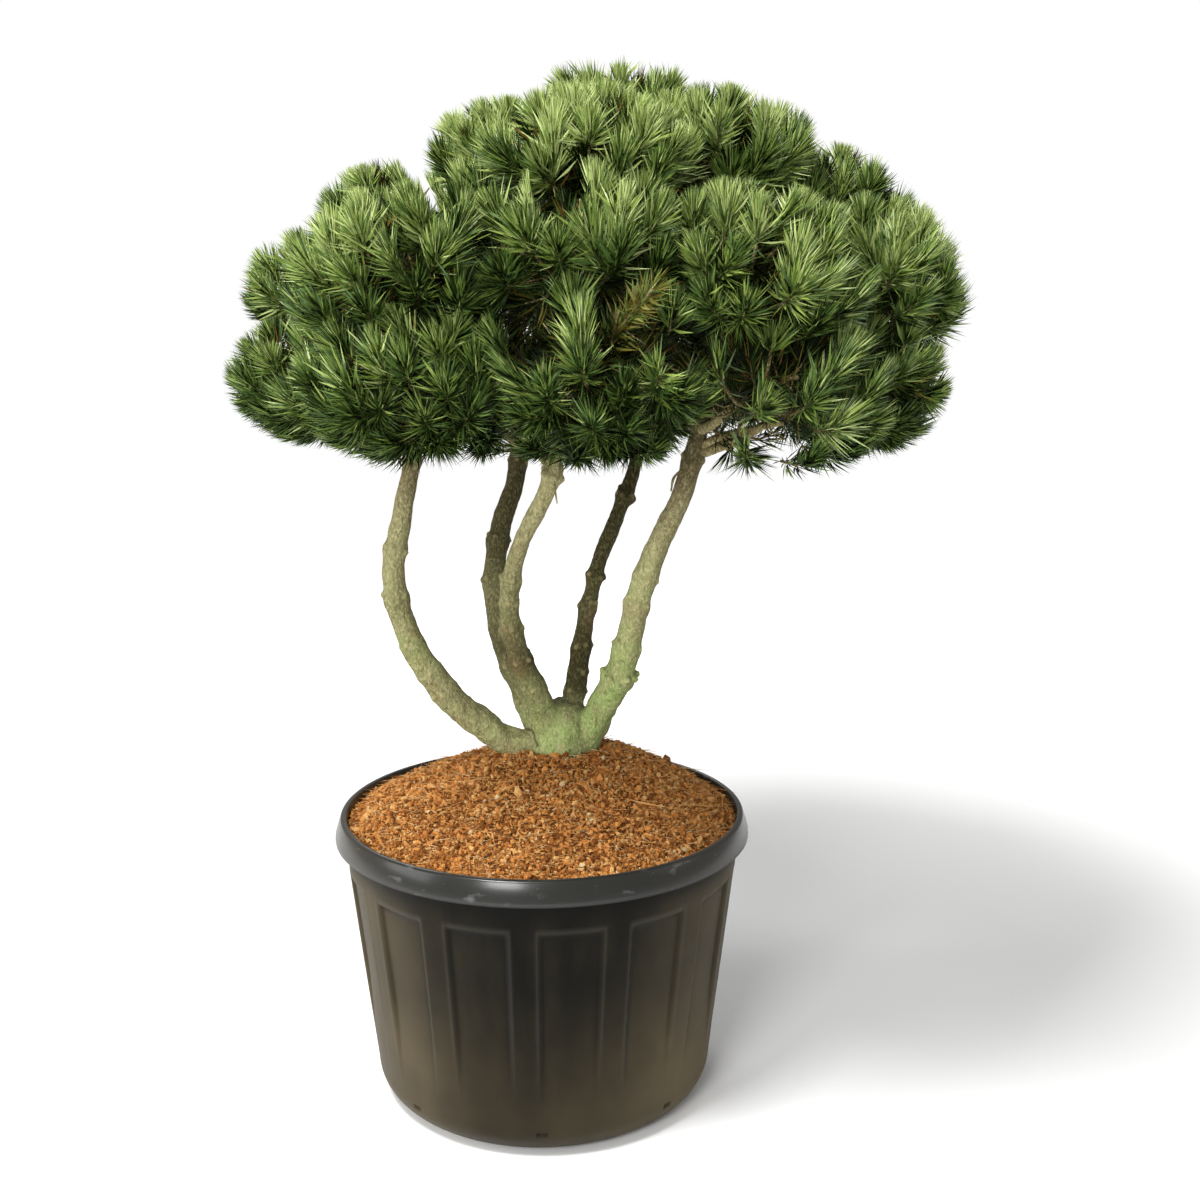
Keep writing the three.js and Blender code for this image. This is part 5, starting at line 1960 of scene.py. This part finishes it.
def limb_sprigs():
    """Short sprigs all round the limbs, and round the stems from where the crown begins."""
    random = np.random.default_rng(61)
    spans = [(limb, BOUGH_SPRIGS_FROM, SPRIG_SPACING) for limb in bough_limbs.values()]
    spans += [(limb, limb.share_at_height(SPRIG_FROM * MM), STEM_SPRIG_SPACING)
              for limb in stem_limbs.values()]
    spans += [(Limb(line, np.array(HEART_RADII)), HEART_SPRIGS_FROM, SPRIG_SPACING)
              for line in hearts.values()]
    rows = []
    for limb, first, spacing in spans:
        count = round(limb.length * (1 - first) / spacing)
        for i, share in enumerate(np.linspace(first, 1, count)):
            along = limb.along(share)
            turn = GOLDEN_ANGLE * i + random.uniform(-0.4, 0.4)
            out = way_out(along, unit(np.cross(along, SLANTING)), turn)
            base, way = limb.at(share) + out * limb.radius_at(share) * 0.8, unit(out + along * 0.5)
            if not crosses_open_air(base[None], (base + way * SPRIG_CLEAR)[None])[0]:
                rows.append((base, way, SPRIG_REACH * random.uniform(0.7, 1.2)))
    return rows


sprigs = limb_sprigs()
print(len(sprigs), "sprigs on the limbs")

# %% Join the twigs


def twig_mesh():
    """The hearts, the twigs and every shoot's own stick, as one mesh of tubes."""
    heart_radii = np.linspace(*HEART_RADII, len(next(iter(hearts.values()))))
    all_twigs = [line for lines in twigs.values() for line in lines]
    twig_radii = np.linspace(*TWIG_RADII, TWIG_STEPS + 1)
    sticks = [shoot_line(*row, np.linspace(0, 1, 3))[0]
              for row in (*(row[1:4] for row in crown.rows), *sprigs)]
    shoot_radii = np.linspace(*SHOOT_RADII, 3)
    parts = [
        joined_tubes(list(hearts.values()), np.tile(heart_radii, (len(hearts), 1)), 8),
        joined_tubes(all_twigs, np.tile(twig_radii, (len(all_twigs), 1)), 5),
        joined_tubes(sticks, np.tile(shoot_radii, (len(sticks), 1)), 4),
    ]
    return mesh_from_arrays("twigs", *merged(*parts))


twig_bark = bark_finish("twig_bark", linear(92, 80, 46), linear(92, 78, 46),
                        linear(98, 80, 50), linear(70, 58, 36))
add_piece("twigs", twig_mesh(), [twig_bark])

# %% [markdown]
# ## Needles
#
# Mountain pine needles are stiff, 60 mm long, and stand in close spirals along a shoot: wide
# open low down, and closing to a brush round the bud. One needle is a thin solid of four
# faces. Its outer side is bent once across the middle, so it bows towards the shoot. The
# whole crown holds over two hundred thousand, so they are worked out in arrays and joined,
# one piece for each mass, one for the sprigs in the heart of the crown and one for the twig
# with yellowed needles. Colour is dealt out by spray from a short row of plain greens, which
# paint the light and shade: yellow-green high up and on top of a mass as painted light, deep
# and bluish low down and near the seams as painted shade, and the darkest greens inside as
# painted shade, with olive or rusty for some old needles there. Single needles stray a tone
# from their spray's. On a needle's outer side the foot half is two tones darker, as painted
# shade, and the tip half of some takes the next lighter green, as young tips do and as painted
# light.
# %% Tones of needles
NEEDLE_TONES = {
    "needles_shade": linear(20, 27, 7),
    "needles_deep": linear(46, 62, 22),
    "needles_bluish": linear(75, 99, 50),
    "needles_mid": linear(100, 122, 53),
    "needles_fresh": linear(133, 152, 75),
    "needles_light": linear(172, 186, 118),
    "needles_old": linear(100, 94, 40),
    "needles_rusty": linear(116, 86, 40),
    "needles_golden": linear(130, 126, 66),
}
DULL = ("needles_shade", "needles_deep", "needles_old", "needles_rusty")
TONE = {name: i for i, name in enumerate(NEEDLE_TONES)}
LIGHTEST = TONE["needles_light"]


def needle_finish(name, color):
    """A waxy green, or a dull one for needles that are old or in the shade."""
    dull = name in DULL
    look = Finish(name, color, 0.55 if dull else 0.42, specular=0.15 if dull else 0.45)
    return look.material


needle_looks = [needle_finish(name, color) for name, color in NEEDLE_TONES.items()]
print(len(needle_looks), "tones of needles")

# %% Needles at points of a shoot or twig
NEEDLE = 0.061
NEEDLE_HALF_WIDTH = 0.00085
NEEDLE_COUNTS = {"leader": 310, "side": 266, "inner": 100, "sprig": 70}
OPENING = (60, 14)
BRUSH = 0.30
OPEN_JITTER = 15
BOW = 5.0
BOW_AT = 0.45
OLD_SPACING = 0.0016
OLD_LEAN = (62, 74)


def needles_at(random, foot, axis, lean, size):
    """Foot, middle, tip and flat way of needles that spiral round a line of points."""
    count = len(foot)
    side, over = square_to(axis)
    turn = (GOLDEN_ANGLE * np.arange(count) + random.uniform(-0.3, 0.3, count))[:, None]
    out = np.cos(turn) * side + np.sin(turn) * over
    lean = np.radians(np.clip(lean + random.normal(0, OPEN_JITTER, count), 5, 100))[:, None]
    bow = np.radians(BOW * random.uniform(0.2, 2.0, count))[:, None]
    reach = (size * random.uniform(0.74, 1.06, count))[:, None]
    tip = foot + reach * (np.cos(lean) * axis + np.sin(lean) * out)
    middle = foot + reach * BOW_AT * (np.cos(lean + bow) * axis + np.sin(lean + bow) * out)
    return foot, middle, tip, unit(np.cross(tip - foot, out))


def shoot_needles(random, base, axis, length, kind):
    """The needles of one shoot: open low down, and closing to a brush round the bud."""
    count = round(NEEDLE_COUNTS[kind] * min(1.3, max(0.7, length / SHOOT)))
    climb = ((np.arange(count) + 0.5) / count) ** 0.8
    foot, ways = shoot_line(base, axis, length, climb)
    lean = (OPENING[0] + (OPENING[1] - OPENING[0]) * climb) * random.uniform(0.76, 1.12)
    lean *= 1 - BRUSH * max(0, axis[2])
    return needles_at(random, foot, ways, lean, NEEDLE * random.uniform(0.86, 1.08))


def old_needles(random, line):
    """Needles left on the outer half of a twig that leads to a shoot."""
    length = np.linalg.norm(np.diff(line, axis=0), axis=1).sum()
    count = max(2, int(length * 0.6 / OLD_SPACING))
    share = np.linspace(0.4, 1, count) * (len(line) - 1)
    foot = np.stack([np.interp(share, np.arange(len(line)), part) for part in line.T], -1)
    steps = np.gradient(line, axis=0)
    axis = unit(np.stack([np.interp(share, np.arange(len(line)), part) for part in steps.T], -1))
    return needles_at(random, foot, axis, random.uniform(*OLD_LEAN, count), NEEDLE * 0.9)


print("needles on a shoot of usual length:", NEEDLE_COUNTS)

# %% Fit the needles to the mass, and deal out their tones
SEAM_SLACK = 0.016
SEAM_SHADE = 1.2
SEAM_REACH = 0.045
RAGGED = 0.020
INNER_SHARES = (0.56, 0.28, 0.13, 0.03)
SPRAY_STRAYS = {-2: 0.13, -1: 0.20, 0: 0.31, 1: 0.22, 2: 0.14}


def fit_needles(mass, random, foot, middle, tip, flat):
    """Needles drawn back into the mass's space, less those with too little left."""
    stretch = 1 + np.clip(random.normal(0, RAGGED, len(foot)), -0.04, 0.025)
    room = room_along(mass, foot, tip, SEAM_SLACK, stretch, clipped=True)
    kept = (room > LEAST) & ~crosses_open_air(foot, tip)
    room = room[:, None]
    middle = foot + (middle - foot) * room
    tip = foot + (tip - foot) * room
    return [part[kept] for part in (foot, middle, tip, flat)]


def spray_tone(random, mass, tip, axis):
    """The tone of a spray: painted light high up, on top of a mass and where it points up, and
    painted shade near its seams.
    """
    seam = (mass.offsets[1:] - mass.normals[1:] @ tip).min()
    # Painted light and shade: greens lighter with height, on top of the mass and on upward sprays,
    # and darker near the seams
    level = 1.75 + 1.9 * (tip[2] - 1.2) / 0.6 + 0.6 * (tip[2] - mass.centre[2]) / mass.half[2]
    level += 0.7 * axis[2] - SEAM_SHADE * (1 - np.clip(seam / SEAM_REACH, 0, 1))
    return min(LIGHTEST, max(TONE["needles_deep"], round(level + random.normal(0, 0.45))))


def inner_tones(random, count):
    """Tones of needles inside the crown: mostly the darkest and deep greens as painted shade, with
    a few that are olive or rusty, as old needles are.
    """
    return random.choice([TONE[name] for name in DULL], count, p=INNER_SHARES)


def mass_needles(mass, random):
    """All needles of a mass and the tone of each."""
    parts, tones = [], []
    for _, base, axis, length, kind in crown.of(mass, "leader", "side", "inner"):
        needles = fit_needles(mass, random, *shoot_needles(random, base, axis, length, kind))
        parts.append(needles)
        count = len(needles[0])
        if kind == "inner":
            tones.append(inner_tones(random, count))
            continue
        tone = spray_tone(random, mass, base + axis * length, axis)
        strays = random.choice(list(SPRAY_STRAYS), count, p=list(SPRAY_STRAYS.values()))
        tones.append(np.clip(tone + strays, 0, LIGHTEST))
    for line in twigs[mass.name]:
        needles = fit_needles(mass, random, *old_needles(random, line))
        parts.append(needles)
        tones.append(inner_tones(random, len(needles[0])))
    return [np.concatenate(group) for group in zip(*parts)], np.concatenate(tones)


print("needles inside a mass:", dict(zip(DULL, INNER_SHARES)))

# %% Join needles in one piece
STRAY_SHARES = (0.20, 0.64, 0.16)
LIGHT_TIPS = 0.5
FOOT_DARKER = 2


def bent_blades(foot, middle, tip, flat, half_width):
    """Needles of four faces: a foot, a tip and a bent middle, two points wide."""
    wide = flat * half_width[:, None]
    faces = [(0, 2, 1), (3, 1, 2), (0, 3, 2), (0, 1, 3)]
    return joined(np.stack([foot, middle - wide, middle + wide, tip], 1), faces)


def needle_piece(name, needles, tone, random, nodes=()):
    """One piece of needles, whose outer side is darker at the foot as painted shade, and often
    lighter at the tip, as young tips are and as painted light.
    """
    count = len(tone)
    green = tone <= LIGHTEST
    strays = random.choice([-1, 0, 1], count, p=STRAY_SHARES)
    tone = np.where(green, np.clip(tone + strays, 0, LIGHTEST), tone)
    width = NEEDLE_HALF_WIDTH * random.uniform(0.85, 1.15, count)
    points, triangles = bent_blades(*needles, width)
    face_tones = np.repeat(tone, 4).reshape(-1, 4)
    # Painted light on the tips of some needles, and painted shade on the foot half of every green
    # one
    lighter = (tone < LIGHTEST) & (random.random(count) < LIGHT_TIPS)
    face_tones[lighter, 1] += 1
    face_tones[green, 0] = np.maximum(0, tone[green] - FOOT_DARKER)
    mesh = mesh_from_arrays(name, points, triangles, face_tones.ravel())
    add_piece(name, mesh, needle_looks, nodes, smooth=False)
    return count


needle_count = 0
for i, mass in enumerate(masses.values()):
    random = np.random.default_rng(400 + i)
    needle_count += needle_piece(f"sprays_{mass.name}", *mass_needles(mass, random), random,
                                 [f"needles_{mass.name}"])
print(needle_count, "needles on the masses")

# %% Needles in the heart, and on the yellowed twig
SPRIG_DEPTH = 0.62
HEART_SHARE = 0.58
GOLDEN = 620
GOLDEN_NAMES = ("needles_golden", "needles_old", "needles_mid")
GOLDEN_SHARES = (0.30, 0.42, 0.28)


def sprig_needles(random):
    """Needles of the sprigs that end deep in a mass and out of the hollows, in the dark tones of
    the needles inside, mostly painted shade.
    """
    parts = [shoot_needles(random, *row, "sprig") for row in sprigs]
    needles = [np.concatenate(group) for group in zip(*parts)]
    foot, _, tip, _ = needles
    depth = [(((tip - mass.centre) / mass.clipped) ** 2).sum(-1) for mass in masses.values()]
    heart = np.linalg.norm(in_dome(tip, CLIP_TOP), axis=-1) < HEART_SHARE
    inside = (np.min(depth, 0) < SPRIG_DEPTH) | heart
    kept = inside & (tip[:, 2] > CROWN["bottom"] * MM) & ~crosses_open_air(foot, tip)
    return [part[kept] for part in needles], inner_tones(random, kept.sum())


def golden_needles(random):
    """Yellowed needles that still stand round the twig which shows in the front hollow."""
    limb = side_limbs["front_golden"]
    share = np.sort(random.uniform(0.25, 1, GOLDEN))
    lean = random.uniform(10, 62, GOLDEN)
    needles = needles_at(random, limb.at(share), limb.along(share), lean, NEEDLE * 0.80)
    tones = [TONE[name] for name in GOLDEN_NAMES]
    return needles, random.choice(tones, GOLDEN, p=GOLDEN_SHARES)


for name, grow in (("sprays_heart", sprig_needles), ("sprays_golden", golden_needles)):
    random = np.random.default_rng(470)
    needle_count += needle_piece(name, *grow(random), random)
print(needle_count, "needles,", 4 * needle_count, "faces")

# %% [markdown]
# ## Winter buds
#
# A short bud, brown or pale with resin, sits in the middle of about half of the sprays and
# shows as a small light dot. Each is a low ball of a few faces, drawn out along its shoot.
# %% Buds on the shoots
BUD_RADIUS = 0.0026
BUD_LENGTH = 0.0048
BUD_SHARE = 0.55
BUD_TONES = {"bud_brown": linear(156, 136, 92), "bud_resin": linear(216, 204, 168)}
BUD_TONE_SHARES = (0.55, 0.45)


def bud_mesh():
    """Buds at the tips of about half of the shoots, each drawn out along its shoot."""
    random = np.random.default_rng(51)
    rows = [row for row in crown.rows if row[4] != "inner" and random.random() < BUD_SHARE]
    tips, axis = (np.array(part) for part in
                  zip(*(shoot_line(*row[1:4], 1.0) for row in rows)))
    side, over = square_to(axis)
    frames = np.stack([side * BUD_RADIUS, over * BUD_RADIUS, axis * BUD_LENGTH], -1)
    frames *= random.uniform(0.7, 1.3, len(rows))[:, None, None]
    bud = small_shape(bmesh.ops.create_uvsphere, u_segments=6, v_segments=4, radius=1)
    points, triangles = joined_copies(bud, frames, tips)
    tone = random.choice(len(BUD_TONES), len(rows), p=BUD_TONE_SHARES)
    return mesh_from_arrays("winter_buds", points, triangles, np.repeat(tone, len(bud[1])))


def bud_finish(name, color):
    look = Finish(name, color, 0.6, specular=0.4)
    look.bump(look.effect(CRUST, Scale=900, Grain=0.6), 0.0006)
    return look.material


bud_looks = [bud_finish(name, color) for name, color in BUD_TONES.items()]
add_piece("winter_buds", bud_mesh(), bud_looks)
